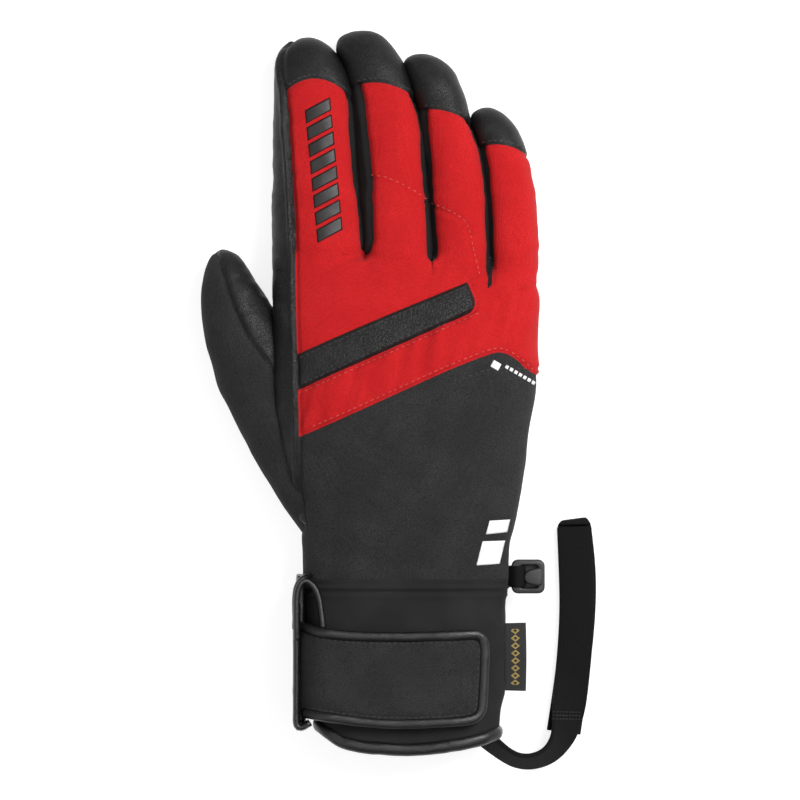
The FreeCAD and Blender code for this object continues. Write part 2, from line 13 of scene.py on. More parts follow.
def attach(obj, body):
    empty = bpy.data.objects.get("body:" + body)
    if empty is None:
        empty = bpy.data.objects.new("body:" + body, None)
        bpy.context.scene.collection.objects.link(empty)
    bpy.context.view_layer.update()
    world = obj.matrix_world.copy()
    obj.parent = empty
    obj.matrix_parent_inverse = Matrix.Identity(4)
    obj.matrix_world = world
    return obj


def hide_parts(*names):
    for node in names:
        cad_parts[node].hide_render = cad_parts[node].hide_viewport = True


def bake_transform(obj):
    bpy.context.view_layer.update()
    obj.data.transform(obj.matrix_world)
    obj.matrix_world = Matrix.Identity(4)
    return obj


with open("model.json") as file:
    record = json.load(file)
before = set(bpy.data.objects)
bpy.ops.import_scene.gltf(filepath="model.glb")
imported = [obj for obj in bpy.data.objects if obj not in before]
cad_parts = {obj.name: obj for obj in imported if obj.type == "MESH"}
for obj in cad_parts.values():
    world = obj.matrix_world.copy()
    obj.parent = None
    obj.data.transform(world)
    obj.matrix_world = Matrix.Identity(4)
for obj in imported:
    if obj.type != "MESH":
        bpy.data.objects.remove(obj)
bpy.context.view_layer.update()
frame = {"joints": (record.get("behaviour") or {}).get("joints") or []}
MM = 0.001
VOXEL = 0.95 * MM
JOINTS = {joint["name"]: joint for joint in frame["joints"]}


# ---------------------------------------------------------------- numbers and curves

def along(table, y):
    """Smooth values down a table of (y, value...) rows, without overshoot between rows."""
    rows = np.array(table, float)
    ys, values = rows[:, 0], rows[:, 1:]
    step = np.diff(ys)
    slope = np.diff(values, axis=0) / step[:, None]
    tangent = np.zeros_like(values)
    same = slope[1:] * slope[:-1] > 0
    with np.errstate(divide="ignore", invalid="ignore"):
        mean = 2 * slope[1:] * slope[:-1] / (slope[1:] + slope[:-1])
    tangent[1:-1] = np.where(same, mean, 0)
    tangent[0], tangent[-1] = slope[0], slope[-1]
    y = np.clip(np.asarray(y, float), ys[0], ys[-1])
    at = np.clip(np.searchsorted(ys, y) - 1, 0, len(ys) - 2)
    t = ((y - ys[at]) / step[at])[..., None]
    gap = step[at][..., None]
    return ((2 * t ** 3 - 3 * t ** 2 + 1) * values[at] + (t ** 3 - 2 * t ** 2 + t) * gap * tangent[at]
            + (3 * t ** 2 - 2 * t ** 3) * values[at + 1] + (t ** 3 - t ** 2) * gap * tangent[at + 1])


def noise(points, cell, seed):
    """Smooth random values from -1 to 1 on a lattice of the given cell size in metres."""
    table = np.random.RandomState(seed).uniform(-1, 1, 4096)
    q = np.asarray(points, float) / cell
    low = np.floor(q).astype(int)
    part = q - low
    part = part * part * (3 - 2 * part)
    total = np.zeros(len(q))
    for corner in range(8):
        bits = np.array([(corner >> axis) & 1 for axis in range(3)])
        spot = low + bits
        key = (spot[:, 0] * 73856093 ^ spot[:, 1] * 19349663 ^ spot[:, 2] * 83492791) & 4095
        weight = np.prod(np.where(bits, part, 1 - part), axis=1)
        total += table[key] * weight
    return total


def bump(distance, width):
    """1 on a line, falling smoothly to 0 away from it."""
    return np.exp(-(distance / width) ** 2)


# ---------------------------------------------------------------- meshes

def mesh_object(name, points, faces, materials=(), picks=None):
    """A new object from plain lists of points and faces."""
    mesh = bpy.data.meshes.new(name)
    mesh.from_pydata([tuple(p) for p in points], [], [tuple(int(i) for i in f) for f in faces])
    for material in materials:
        mesh.materials.append(material)
    if picks is not None:
        mesh.polygons.foreach_set("material_index", np.asarray(picks, np.int32))
    mesh.polygons.foreach_set("use_smooth", np.ones(len(mesh.polygons), bool))
    mesh.update()
    thing = bpy.data.objects.new(name, mesh)
    bpy.context.scene.collection.objects.link(thing)
    return thing


def arrays(thing):
    """An object's points and triangles as arrays."""
    mesh = thing.data
    mesh.calc_loop_triangles()
    points = np.empty(len(mesh.vertices) * 3)
    mesh.vertices.foreach_get("co", points)
    tris = np.empty(len(mesh.loop_triangles) * 3, np.int32)
    mesh.loop_triangles.foreach_get("vertices", tris)
    return points.reshape(-1, 3), tris.reshape(-1, 3)


def drop(thing):
    """Remove a helper object and its mesh."""
    mesh = thing.data
    bpy.data.objects.remove(thing)
    bpy.data.meshes.remove(mesh)


def rings_to_mesh(rings):
    """A closed skin over rings of points, fanned shut at both ends."""
    rings = np.array(rings)
    count, around = rings.shape[:2]
    points = np.concatenate([rings.reshape(-1, 3), rings[0].mean(0)[None], rings[-1].mean(0)[None]])
    faces = []
    for ring in range(count - 1):
        for spot in range(around):
            after = (spot + 1) % around
            low, high = ring * around, (ring + 1) * around
            faces.append((low + spot, low + after, high + after, high + spot))
    first, last = count * around, count * around + 1
    for spot in range(around):
        after = (spot + 1) % around
        faces.append((first, after, spot))
        end = (count - 1) * around
        faces.append((last, end + spot, end + after))
    return points, faces


def normals_of(points, tris):
    """Smooth normals at every point."""
    a, b, c = (points[tris[:, n]] for n in range(3))
    flat = np.cross(b - a, c - a)
    total = np.zeros_like(points)
    for n in range(3):
        np.add.at(total, tris[:, n], flat)
    return total / np.maximum(np.linalg.norm(total, axis=1, keepdims=True), 1e-12)


def smooth(points, tris, rounds, weights=None):
    """Move points towards the mean of their neighbours."""
    pairs = np.concatenate([tris[:, [0, 1]], tris[:, [1, 2]], tris[:, [2, 0]]])
    pairs = np.concatenate([pairs, pairs[:, ::-1]])
    count = np.bincount(pairs[:, 0], minlength=len(points))[:, None]
    share = 0.5 if weights is None else 0.5 * weights[:, None]
    for _ in range(rounds):
        total = np.stack([np.bincount(pairs[:, 0], points[pairs[:, 1], axis], len(points))
                          for axis in range(3)], axis=1)
        points = points + share * (total / np.maximum(count, 1) - points)
    return points


def voxel_skin(name, parts, voxel):
    """One closed skin round overlapping closed shapes, as points and triangles."""
    points, faces, start = [], [], 0
    for part_points, part_faces in parts:
        points.append(part_points)
        faces += [tuple(i + start for i in face) for face in part_faces]
        start += len(part_points)
    thing = mesh_object(name, np.concatenate(points), faces)
    remesh = thing.modifiers.new("remesh", "REMESH")
    remesh.mode, remesh.voxel_size = "VOXEL", voxel
    graph = bpy.context.evaluated_depsgraph_get()
    made = bpy.data.meshes.new_from_object(thing.evaluated_get(graph))
    drop(thing)
    result = bpy.data.objects.new(name, made)
    points, tris = arrays(result)
    drop(result)
    return points, tris


def split_along(points, tris, field):
    """Cut triangles so that no edge crosses the line where a field of position is zero."""
    points = points.copy()
    value = field(points)
    for _ in range(2):
        edges = np.unique(np.sort(np.concatenate([tris[:, [0, 1]], tris[:, [1, 2]],
                                                  tris[:, [2, 0]]]), axis=1), axis=0)
        ends = value[edges]
        edges = edges[ends[:, 0] * ends[:, 1] < 0]
        ends = value[edges]
        share = ends[:, 0] / (ends[:, 0] - ends[:, 1])
        spots = points[edges[:, 0]] + share[:, None] * (points[edges[:, 1]] - points[edges[:, 0]])
        near = np.concatenate([edges[share < 0.3, 0], edges[share > 0.7, 1]])
        goals = np.concatenate([spots[share < 0.3], spots[share > 0.7]])
        near, first = np.unique(near, return_index=True)
        points[near], value[near] = goals[first], 0
    edges = np.unique(np.sort(np.concatenate([tris[:, [0, 1]], tris[:, [1, 2]],
                                              tris[:, [2, 0]]]), axis=1), axis=0)
    ends = value[edges]
    edges = edges[ends[:, 0] * ends[:, 1] < 0]
    if not len(edges):
        return points, tris
    ends = value[edges]
    share = ends[:, 0] / (ends[:, 0] - ends[:, 1])
    fresh = points[edges[:, 0]] + share[:, None] * (points[edges[:, 1]] - points[edges[:, 0]])
    total = len(points)
    keys = edges[:, 0].astype(np.int64) * total + edges[:, 1]

    def middle(a, b):
        pair = np.sort(np.stack([a, b], axis=1), axis=1)
        return total + np.searchsorted(keys, pair[:, 0].astype(np.int64) * total + pair[:, 1])

    sign = np.sign(value)[tris]
    crossed = (sign.min(1) < 0) & (sign.max(1) > 0)
    keep, cut = tris[~crossed], tris[crossed]
    sign = sign[crossed]
    has_zero = (sign == 0).any(1)
    lone = np.where(has_zero, np.argmax(sign == 0, axis=1),
                    np.argmax(sign * np.sign(sign.sum(1))[:, None] < 0, axis=1))
    rows = np.arange(len(cut))
    a, b, c = (cut[rows, (lone + n) % 3] for n in range(3))
    z = has_zero
    m = middle(b[z], c[z])
    made = [np.stack([a[z], b[z], m], 1), np.stack([a[z], m, c[z]], 1)]
    o = ~has_zero
    ab, ac = middle(a[o], b[o]), middle(a[o], c[o])
    made += [np.stack([a[o], ab, ac], 1), np.stack([ab, b[o], c[o]], 1), np.stack([ab, c[o], ac], 1)]
    return np.concatenate([points, fresh]), np.concatenate([keep] + made)


def skin_piece(name, points, normals, tris, picked, wall, materials, fields=None):
    """Part of a skin as its own piece of cloth or leather, with a wall and its own edge."""
    chosen = tris[picked]
    used, local = np.unique(chosen, return_inverse=True)
    local = local.reshape(-1, 3)
    outer, lift = points[used], normals[used]
    inner = outer - lift * wall
    count = len(used)
    edges = np.concatenate([local[:, [0, 1]], local[:, [1, 2]], local[:, [2, 0]]])
    keys = edges[:, 0].astype(np.int64) * count + edges[:, 1]
    twins = edges[:, 1].astype(np.int64) * count + edges[:, 0]
    rim = edges[~np.isin(keys, twins)]
    walls = np.concatenate([np.stack([rim[:, 1], rim[:, 0], rim[:, 0] + count], 1),
                            np.stack([rim[:, 1], rim[:, 0] + count, rim[:, 1] + count], 1)])
    faces = np.concatenate([local, local[:, ::-1] + count, walls])
    mesh = bpy.data.meshes.new(name)
    mesh.vertices.add(count * 2)
    mesh.vertices.foreach_set("co", np.concatenate([outer, inner]).ravel())
    mesh.loops.add(len(faces) * 3)
    mesh.loops.foreach_set("vertex_index", faces.ravel().astype(np.int32))
    mesh.polygons.add(len(faces))
    mesh.polygons.foreach_set("loop_start", np.arange(0, len(faces) * 3, 3, dtype=np.int32))
    mesh.polygons.foreach_set("use_smooth", np.ones(len(faces), bool))
    for material in materials:
        mesh.materials.append(material)
    index = np.zeros(len(faces), np.int32)
    if len(materials) > 1:
        index[len(local):len(local) * 2] = 1
    mesh.polygons.foreach_set("material_index", index)
    for field, values in (fields or {}).items():
        layer = mesh.attributes.new(field, "FLOAT", "POINT")
        layer.data.foreach_set("value", np.concatenate([values[used], values[used]]))
    mesh.update()
    mesh.validate()
    mesh.normals_split_custom_set_from_vertices(
        [tuple(n) for n in np.concatenate([lift, -lift])])
    thing = bpy.data.objects.new(name, mesh)
    bpy.context.scene.collection.objects.link(thing)
    return thing


def seat(piece, body, slot, *solids):
    """Let a piece ride on a body and stand for the solids named. The slot is not used."""
    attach(piece, body)
    if solids:
        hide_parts(*solids)


# ---------------------------------------------------------------- shape of the glove, in millimetres

# Each finger: y, left edge, right edge, height of its middle, half its thickness.
FINGERS = {
    "index": [(38, -39.0, -5.0, 15.5, 13.5), (58, -39.8, -3.2, 14.6, 13.4), (73, -39.8, -4.2, 14.2, 13.2),
              (85, -39.8, -5.6, 14.0, 13.0), (97, -39.8, -6.6, 13.8, 12.8), (109, -39.7, -7.2, 13.5, 12.4),
              (121, -39.4, -8.3, 13.0, 11.8), (129, -39.1, -10.9, 12.5, 10.8), (135, -38.0, -14.2, 12.2, 9.2),
              (139.2, -35.0, -17.6, 12.0, 7.0), (141.6, -31.5, -21.0, 11.9, 4.6),
              (142.7, -28.4, -24.0, 11.8, 2)],
    "middle": [(38, -3.4, 23.0, 15.8, 13.5), (55, -2.4, 23.6, 15.0, 13.4), (68, -3.4, 23.4, 14.6, 13.2),
               (80, -5.0, 22.6, 14.4, 13.0), (95, -6.2, 21.5, 14.0, 12.8), (107, -6.9, 20.3, 13.7, 12.4),
               (117, -8.1, 18.2, 13.3, 12.0), (125, -9.8, 15.3, 12.9, 11.2), (131.5, -11.6, 12.2, 12.5, 10.0),
               (137, -14.6, 9.0, 12.2, 8.2), (141.4, -14.2, 5.4, 12.0, 6.0), (143.8, -11.0, 2.2, 11.9, 3.8),
               (145.0, -7.4, -1.4, 11.8, 1.8)],
    "ring": [(36, 24.4, 46.2, 15.6, 13.2), (52, 24.9, 46.4, 14.8, 13.0), (64, 23.8, 46.6, 14.5, 12.8),
             (78, 22.6, 46.0, 14.2, 12.6), (90, 21.4, 44.9, 13.9, 12.4), (101, 20.2, 42.4, 13.6, 12.0),
             (112, 18.3, 38.6, 13.2, 11.4), (121, 15.2, 35.8, 12.8, 10.6), (127.5, 13.4, 33.4, 12.5, 9.2),
             (131.8, 12.6, 29.6, 12.2, 7.0), (134.4, 14.4, 25.6, 12.1, 4.6), (135.6, 17.2, 21.6, 12, 2)],
    "little": [(30, 47.8, 65.9, 15.0, 12.6), (44, 48.2, 66.0, 14.4, 12.4), (56, 47.6, 66.2, 14.0, 12.2),
               (68, 46.6, 66.2, 13.7, 12.0), (80, 45.7, 65.2, 13.4, 11.6), (90, 44.6, 63.2, 13.0, 11.0),
               (99, 42.4, 60.6, 12.7, 10.2), (106, 39.6, 57.6, 12.4, 9.0), (110.6, 39.0, 54.0, 12.2, 6.8),
               (112.9, 40.8, 50.6, 12.1, 4.4), (114, 43.4, 47.8, 12, 2)],
}
# The hand: y, left edge, right edge, height of its middle, half its thickness.
HAND = [(-84, -27.4, 53.8, 18.5, 16.2), (-76, -27.6, 54.0, 18.5, 16.4), (-66, -27.9, 54.4, 18.5, 16.6),
        (-56, -28.4, 56.0, 18.7, 17.0), (-43, -30.4, 58.4, 19.2, 17.6), (-31, -33.9, 60.4, 19.8, 18.2),
        (-17, -37.6, 62.4, 20.3, 18.8), (-3, -39.0, 64.6, 20.4, 18.9), (12, -39.3, 65.8, 20.0, 18.6),
        (25, -39.4, 66.3, 19.0, 17.6), (36, -39.5, 66.2, 17.6, 16.2), (45, -39.4, 65.2, 16.2, 14.6),
        (50, -38.2, 47.0, 15.4, 13.4), (53.5, -37.0, 45.0, 15.0, 11.5)]
# The thumb, in the same way as a finger.
THUMB_ROOT, THUMB_TIP = (-22.0, -60.0), (-62.0, 57.4)
THUMB = [(-61, -25.0, -8.0, 15.0, 8.0), (-56.6, -28.2, -8.5, 15.0, 10.0), (-44.2, -37.0, -11, 15.0, 12.2),
         (-30.6, -45.0, -15, 14.8, 13.0), (-17.8, -51.8, -20, 14.6, 13.2), (-6.2, -57.8, -24.5, 14.4, 13.0),
         (7, -63.6, -30.0, 14.2, 12.8), (19, -66.9, -34.2, 14.0, 12.5), (31, -68.5, -39.4, 13.6, 12.2),
         (39.8, -68.7, -44.0, 13.2, 11.6), (47, -67.9, -48.8, 12.8, 10.2), (52, -66.5, -52.2, 12.5, 8.2),
         (55.2, -64.8, -55.4, 12.3, 5.6), (56.8, -62.8, -58.4, 12.2, 3.0), (57.4, -61.4, -60.2, 12.2, 1.2)]
THUMB_SEAM = [(-62, -18), (-30, -22), (0, -31), (9.4, -39.8), (22.2, -49.8), (35, -55.8), (47, -59.6),
              (57.4, -62.8)]

# Where the back panel of each finger is sewn to its side walls: y, left seam, right seam.
SEAMS = {
    "index": [(36, -30.6, 4.0), (54.3, -30.9, 4.0), (55.4, -30.9, -2.2), (57.5, -31.0, -3.8),
              (61, -31.1, -4.5),
              (69, -31.4, -5.1), (83, -32.2, -6.8), (101, -33.4, -8.4),
              (118, -34.4, -9.4), (131, -35.9, -12.6), (143, -33, -20)],
    "middle": [(36, -8, 30), (51.6, -8, 30), (52.6, -8, 24.1), (54.3, -8, 23.0), (55.4, -2.4, 22.8),
               (57.5, -0.7, 22.6), (61, 0.3, 22.5), (68, 0.2, 22.3),
               (76, 0.0, 21.6), (85, -0.4, 21.1), (94, -1.4, 20.3), (103, -2.3, 19.6), (112, -3.2, 18.4),
               (120, -4.6, 16.0), (125, -6.4, 13.8), (134, -9.4, 9.2), (145, -11.8, 2)],
    "ring": [(36, 18, 52), (40.8, 18, 52), (41.8, 18, 46.5), (44, 18, 45.7), (51.6, 18, 45.9),
             (52.6, 24.3, 45.9), (54.5, 25.0, 46.0), (58, 25.0, 46.1), (65, 24.4, 45.8),
             (76, 23.7, 45.3), (85, 23.1, 44.9), (94, 22.6, 43.7), (103, 21.9, 41.0),
             (113, 21.0, 37.3), (121, 18.6, 34.8), (128, 16.2, 31.0), (136, 14.4, 24)],
    "little": [(30, 40, 65.4), (40.8, 40, 65.5), (41.8, 46.8, 65.6), (44, 47.8, 66.6), (56, 48.0, 67.6),
               (73, 47.4, 67.6),
               (87, 46.4, 66.0), (98, 44.2, 62.8),
               (105, 42.6, 58.6), (114, 41.4, 52)],
}
# The edge of each leather fingertip: its middle (x, y), slant and how far it arches.
CAPS = {"index": (-23.0, 125.4, 0.00, 0.036), "middle": (4.6, 123.6, -0.16, 0.022),
        "ring": (28.2, 112.6, -0.20, 0.020), "little": (51.4, 99.0, -0.10, 0.026)}
CUT_BASE = {"index": 55.0, "middle": 52.0, "ring": 46.4, "little": 41.4}
CUT_MIDDLE = {"index": 80.0, "middle": 82.5, "ring": 81.5, "little": 67.0}
FREE = 54.5   # past this every finger stands free of its neighbours
TOUCH = 0.6   # how far a free finger's side wall goes past the middle of its gap
GAPS = [("index", "middle"), ("middle", "ring"), ("ring", "little")]
SLANT = math.radians(23.1)
BAND_LOW = (-30.2, 0.8)
PALM_EDGE = 9.0
SIDE_EDGE = 15.5
CUFF_START = -76.0


def section(centre, half, middle, rise, y, power=2.5, count=72):
    """A ring of points round a rounded section across the glove."""
    angle = np.linspace(0, 2 * math.pi, count, endpoint=False)
    c, s = np.cos(angle), np.sin(angle)
    x = centre + half * np.sign(c) * np.abs(c) ** (2 / power)
    low = np.where(s < 0, 2 / 3.2, 2 / power)
    z = middle + rise * np.sign(s) * np.abs(s) ** low
    return np.stack([x, np.full(count, y), np.maximum(z, 1.4)], axis=1)


def rounded_steps(start, stop, tip):
    """Places along a finger, even at first and closer and closer over its tip."""
    return np.concatenate([np.arange(start, stop - tip, 2.0),
                           stop - tip * np.cos(np.linspace(0, math.pi / 2, 18))])


def finger_body(name, end=None, touching=False):
    """The closed shape of one finger, its root inside the hand, or only its lower half up to an end.

    A finger made touching has side walls that reach the middle of the gap beside it."""
    table = FINGERS[name]
    start, stop = table[0][0], table[-1][0]
    ys = rounded_steps(start, stop, 16)
    if end:
        ys = ys[ys < end]
    values = along(table, ys)
    for near, far in GAPS if touching else ():
        if name not in (near, far):
            continue
        middle = (along(FINGERS[near], ys)[:, 1] + along(FINGERS[far], ys)[:, 0]) / 2
        free = min(FINGERS[near][-1][0], FINGERS[far][-1][0]) - 8
        share = step_up(ys - CUT_BASE[name], 5) * step_up(free - ys, 8)
        if name == near:
            values[:, 1] += share * np.maximum(middle + TOUCH - values[:, 1], 0)
        else:
            values[:, 0] -= share * np.maximum(values[:, 0] - middle + TOUCH, 0)
    rings = [section((l + r) / 2, (r - l) / 2, m, h, y, power=2.3)
             for y, (l, r, m, h) in zip(ys, values)]
    points, faces = rings_to_mesh(rings)
    return points[:, :3] * MM, faces


def hand_body(start=HAND[0][0]):
    """The closed shape of the hand from the cuff, or from further up, to the roots of the fingers."""
    ys = np.linspace(start, HAND[-1][0], int((HAND[-1][0] - start) / 1.5) + 1)
    values = along(HAND, ys)
    rings = [section((l + r) / 2, (r - l) / 2, m, h, y, power=2.9, count=160)
             for y, (l, r, m, h) in zip(ys, values)]
    points, faces = rings_to_mesh(rings)
    return points * MM, faces


THUMB_AXIS = np.subtract(THUMB_TIP, THUMB_ROOT) / np.linalg.norm(np.subtract(THUMB_TIP, THUMB_ROOT))
THUMB_SIDE = np.array([THUMB_AXIS[1], -THUMB_AXIS[0]])


def thumb_body():
    """The closed shape of the thumb, its root behind the wrist side of the hand."""
    start, stop = THUMB[0][0], THUMB[-1][0]
    ys = rounded_steps(start, stop, 12)
    rings = [section((l + r) / 2, (r - l) / 2, m, h, y, power=2.2)
             for y, (l, r, m, h) in zip(ys, along(THUMB, ys))]
    points, faces = rings_to_mesh(rings)
    return points[:, :3] * MM, faces


# ---------------------------------------------------------------- where each panel lies

def finger_of(p, only=None):
    """The number of the finger whose lane each point is in, or past FREE the one finger given."""
    x, y = p[:, 0] / MM, p[:, 1] / MM
    lane = np.zeros(len(p), int)
    for number, (near, far) in enumerate(GAPS):
        edge = (along(FINGERS[near], y)[:, 1] + along(FINGERS[far], y)[:, 0]) / 2
        if far == "little":
            edge -= 1.4 * np.clip((47.8 - y) / 1.2, 0, 1)
        lane[x > edge] = number + 1
    return lane if only is None else np.where(y > FREE, only, lane)


def side_level(x):
    """Height of the seam along the sides of the hand, lower at the little-finger side."""
    return SIDE_EDGE - 4.0 * np.clip((x - 52) / 6, 0, 1)


def seam_field(name):
    """Positive on the back panel of a finger and on across the hand below it."""
    def field(p):
        x, y, z = p.T / MM
        left, right = along(SEAMS[name], y).T
        return np.minimum(np.minimum(x - left, right - x), (z - side_level(x)) * 0.8)
    return field


def cap_field(name):
    """Positive on the leather fingertip."""
    x0, y0, slope, arch = CAPS[name]

    def field(p):
        x, y, z = p.T / MM
        over = y - (y0 + slope * (x - x0) - arch * (x - x0) ** 2)
        over = over + np.where(z < 14, (14 - z) * 0.25, 0)
        return np.minimum(over, x - strip_edge(p)) if name == "index" else over
    return field


def slant_of(p):
    """Distances along and across the slanted seams of the hand, from the foot of the band."""
    x, y = p[:, 0] / MM, p[:, 1] / MM
    ahead = (x - BAND_LOW[0]) * math.cos(SLANT) + (y - BAND_LOW[1]) * math.sin(SLANT)
    up = -(x - BAND_LOW[0]) * math.sin(SLANT) + (y - BAND_LOW[1]) * math.cos(SLANT)
    return ahead, up


def band_low(ahead):
    """The lower edge of the leather band, which rises a little towards its end."""
    return 0.018 * ahead


def band_top(ahead):
    """The upper edge of the leather band."""
    return 13.1 + 0.35 * np.sin(ahead / 26)


STRIPE = [(-30, -16.6), (0, -17.4), (20, -17.2), (40, -16.7), (58, -16.3), (72, -16.6), (79, -17.2),
          (82.2, -18.8), (85.3, -22.2), (88, -26.8), (90.6, -32.3), (94, -40), (106, -70)]


def stripe_low(ahead):
    """The lower edge of the red stripe, which turns down at the little-finger side."""
    return along(STRIPE, ahead)[:, 0]


def band_field(p):
    """Positive on the leather band, with its rounded end."""
    ahead, up = slant_of(p)
    x, z = p[:, 0] / MM, p[:, 2] / MM
    low, top = up - band_low(ahead), band_top(ahead) - up
    end = 79.6 - ahead
    corner = 5.0
    near = np.minimum(low, end)
    both = (low < corner) & (end < corner)
    rounded = corner - np.hypot(corner - np.minimum(low, corner), corner - np.minimum(end, corner))
    inside = np.minimum(np.where(both, rounded, near), top)
    return np.minimum(np.minimum(inside, x - strip_edge(p)), (z - SIDE_EDGE) * 0.8)


STRIP = [(-60, -25.5), (-47, -28.4), (-38, -29.3), (-15, -29.4), (0, -29.7), (15, -30.1), (36, -30.6),
         (58, -31.0), (69, -31.4), (83, -32.2), (101, -33.4), (118, -34.4), (131, -35.9), (136, -35.2),
         (139.5, -33.2),
         (143, -30)]


def strip_edge(p):
    """The inner edge of the leather strip up the index side."""
    return along(STRIP, p[:, 1] / MM)[:, 0]


def strip_field(p):
    """Positive on the leather strip up the index side, which tapers out at the wrist."""
    x, y = p[:, 0] / MM, p[:, 1] / MM
    taper = (y + 46) * 0.33 + 2.2
    return np.minimum(np.minimum(strip_edge(p) - x, taper), 60 - x)


def back_edge_field(p):
    """Positive above the lower edge of the red stripe."""
    ahead, up = slant_of(p)
    return up - stripe_low(ahead)


def stripe_top_field(p):
    """Positive above the seam between the band and the stripe."""
    ahead, up = slant_of(p)
    return up - band_low(ahead)


def plane_field(cuts, only=None):
    """Positive past each finger's own cut across it."""
    levels = np.array([cuts[name] for name in FINGERS])

    def field(p):
        return p[:, 1] / MM - levels[finger_of(p, only)]
    return field


def palm_field(p):
    """Positive above the edge of the palm leather."""
    return p[:, 2] / MM - PALM_EDGE


def side_field(p):
    """Positive above the seam at the little-finger side of the hand."""
    return p[:, 2] / MM - side_level(p[:, 0] / MM)


def cuff_field(p):
    """Positive above the seam with the cuff."""
    return p[:, 1] / MM - CUFF_START


# ---------------------------------------------------------------- materials

class Term:
    """A socket, or a number, that takes + - * / and a few named functions."""

    def __init__(self, kit, socket):
        self.kit, self.socket = kit, socket

    def _do(self, operation, *others):
        return self.kit.maths(operation, self, *others)

    def __add__(self, other): return self._do("ADD", other)
    def __radd__(self, other): return self._do("ADD", other)
    def __sub__(self, other): return self._do("SUBTRACT", other)
    def __rsub__(self, other): return self.kit.maths("SUBTRACT", other, self)
    def __mul__(self, other): return self._do("MULTIPLY", other)
    def __rmul__(self, other): return self._do("MULTIPLY", other)
    def __truediv__(self, other): return self._do("DIVIDE", other)
    def sine(self): return self._do("SINE")
    def size(self): return self._do("ABSOLUTE")
    def power(self, other): return self._do("POWER", other)
    def less(self, other): return self._do("LESS_THAN", other)
    def more(self, other): return self._do("GREATER_THAN", other)
    def part(self): return self._do("FRACT")
    def low(self, other): return self._do("MINIMUM", other)
    def high(self, other): return self._do("MAXIMUM", other)

    def between(self, start, stop):
        """0 at start and below, 1 at stop and above, smooth between."""
        node = self.kit.node("ShaderNodeMapRange", interpolation_type="SMOOTHSTEP")
        self.kit.feed(node.inputs[0], self)
        node.inputs[1].default_value, node.inputs[2].default_value = start, stop
        return Term(self.kit, node.outputs[0])


class Finish:
    """One procedural material, built round a Principled shader."""

    def __init__(self, name, roughness, **constants):
        self.material = bpy.data.materials.new(name)
        self.material.use_nodes = True
        self.tree = self.material.node_tree
        self.shader = self.tree.nodes["Principled BSDF"]
        self.shader.inputs["Roughness"].default_value = roughness
        for socket, value in constants.items():
            self.shader.inputs[socket.replace("_", " ")].default_value = value
        place = self.node("ShaderNodeTexCoord")
        self.place = place.outputs["Object"]
        split = self.node("ShaderNodeSeparateXYZ")
        self.tree.links.new(self.place, split.inputs[0])
        self.x, self.y, self.z = (Term(self, split.outputs[n]) for n in range(3))

    def node(self, kind, **settings):
        made = self.tree.nodes.new(kind)
        for name, value in settings.items():
            setattr(made, name, value)
        return made

    def feed(self, socket, value):
        if isinstance(value, Term):
            self.tree.links.new(value.socket, socket)
        else:
            socket.default_value = value

    def maths(self, operation, *values):
        made = self.node("ShaderNodeMath", operation=operation)
        for socket, value in zip(made.inputs, values):
            self.feed(socket, value)
        return Term(self, made.outputs[0])

    def attribute(self, name):
        made = self.node("ShaderNodeAttribute", attribute_name=name)
        return Term(self, made.outputs["Fac"])

    def texture(self, kind, scale, output=0, stretch=None, **settings):
        """A noise or Voronoi texture on Object coordinates; scale is per metre."""
        inputs = {key: settings.pop(key) for key in list(settings) if key[0].isupper()}
        made = self.node(kind, **settings)
        made.inputs["Scale"].default_value = scale
        for key, value in inputs.items():
            made.inputs[key].default_value = value
        if stretch:
            mapping = self.node("ShaderNodeMapping")
            mapping.inputs["Scale"].default_value = stretch
            self.tree.links.new(self.place, mapping.inputs[0])
            self.tree.links.new(mapping.outputs[0], made.inputs["Vector"])
        else:
            self.tree.links.new(self.place, made.inputs["Vector"])
        return Term(self, made.outputs[output])

    def mix(self, factor, first, second):
        made = self.node("ShaderNodeMix", data_type="RGBA")
        self.feed(made.inputs[0], factor)
        for socket, value in zip((made.inputs[6], made.inputs[7]), (first, second)):
            if isinstance(value, Term):
                self.tree.links.new(value.socket, socket)
            else:
                socket.default_value = (*value, 1)
        return Term(self, made.outputs[2])

    def colour(self, value):
        if isinstance(value, Term):
            self.tree.links.new(value.socket, self.shader.inputs["Base Color"])
        else:
            self.shader.inputs["Base Color"].default_value = (*value, 1)

    def roughness(self, value):
        self.feed(self.shader.inputs["Roughness"], value)

    def relief(self, height, distance, strength=1.0):
        made = self.node("ShaderNodeBump")
        made.inputs["Distance"].default_value = distance
        made.inputs["Strength"].default_value = strength
        self.feed(made.inputs["Height"], height)
        self.tree.links.new(made.outputs[0], self.shader.inputs["Normal"])


def softshell(name, base, light, dark):
    """Matte four-way stretch fabric with a very fine weave."""
    f = Finish(name, 0.86, Sheen_Weight=0.03, Sheen_Roughness=0.5, Specular_IOR_Level=0.16)
    thread = 2 * math.pi / (0.62 * MM)
    weave = (f.x * thread).sine() * (f.y * thread).sine() + (f.z * thread).sine() * 0.5
    cloudy = f.texture("ShaderNodeTexNoise", 60, Detail=3.0)
    speck = f.texture("ShaderNodeTexNoise", 2600, Detail=2.0)
    tone = f.mix(cloudy.between(0.3, 0.72), base, light)
    f.colour(f.mix((speck.between(0.38, 0.66) * 0.85 + weave * 0.08).low(1.0), tone, dark))
    f.roughness(0.8 + cloudy * 0.12)
    f.relief(weave * 0.5 + speck * 1.2, 0.20 * MM, 0.65)
    return f.material


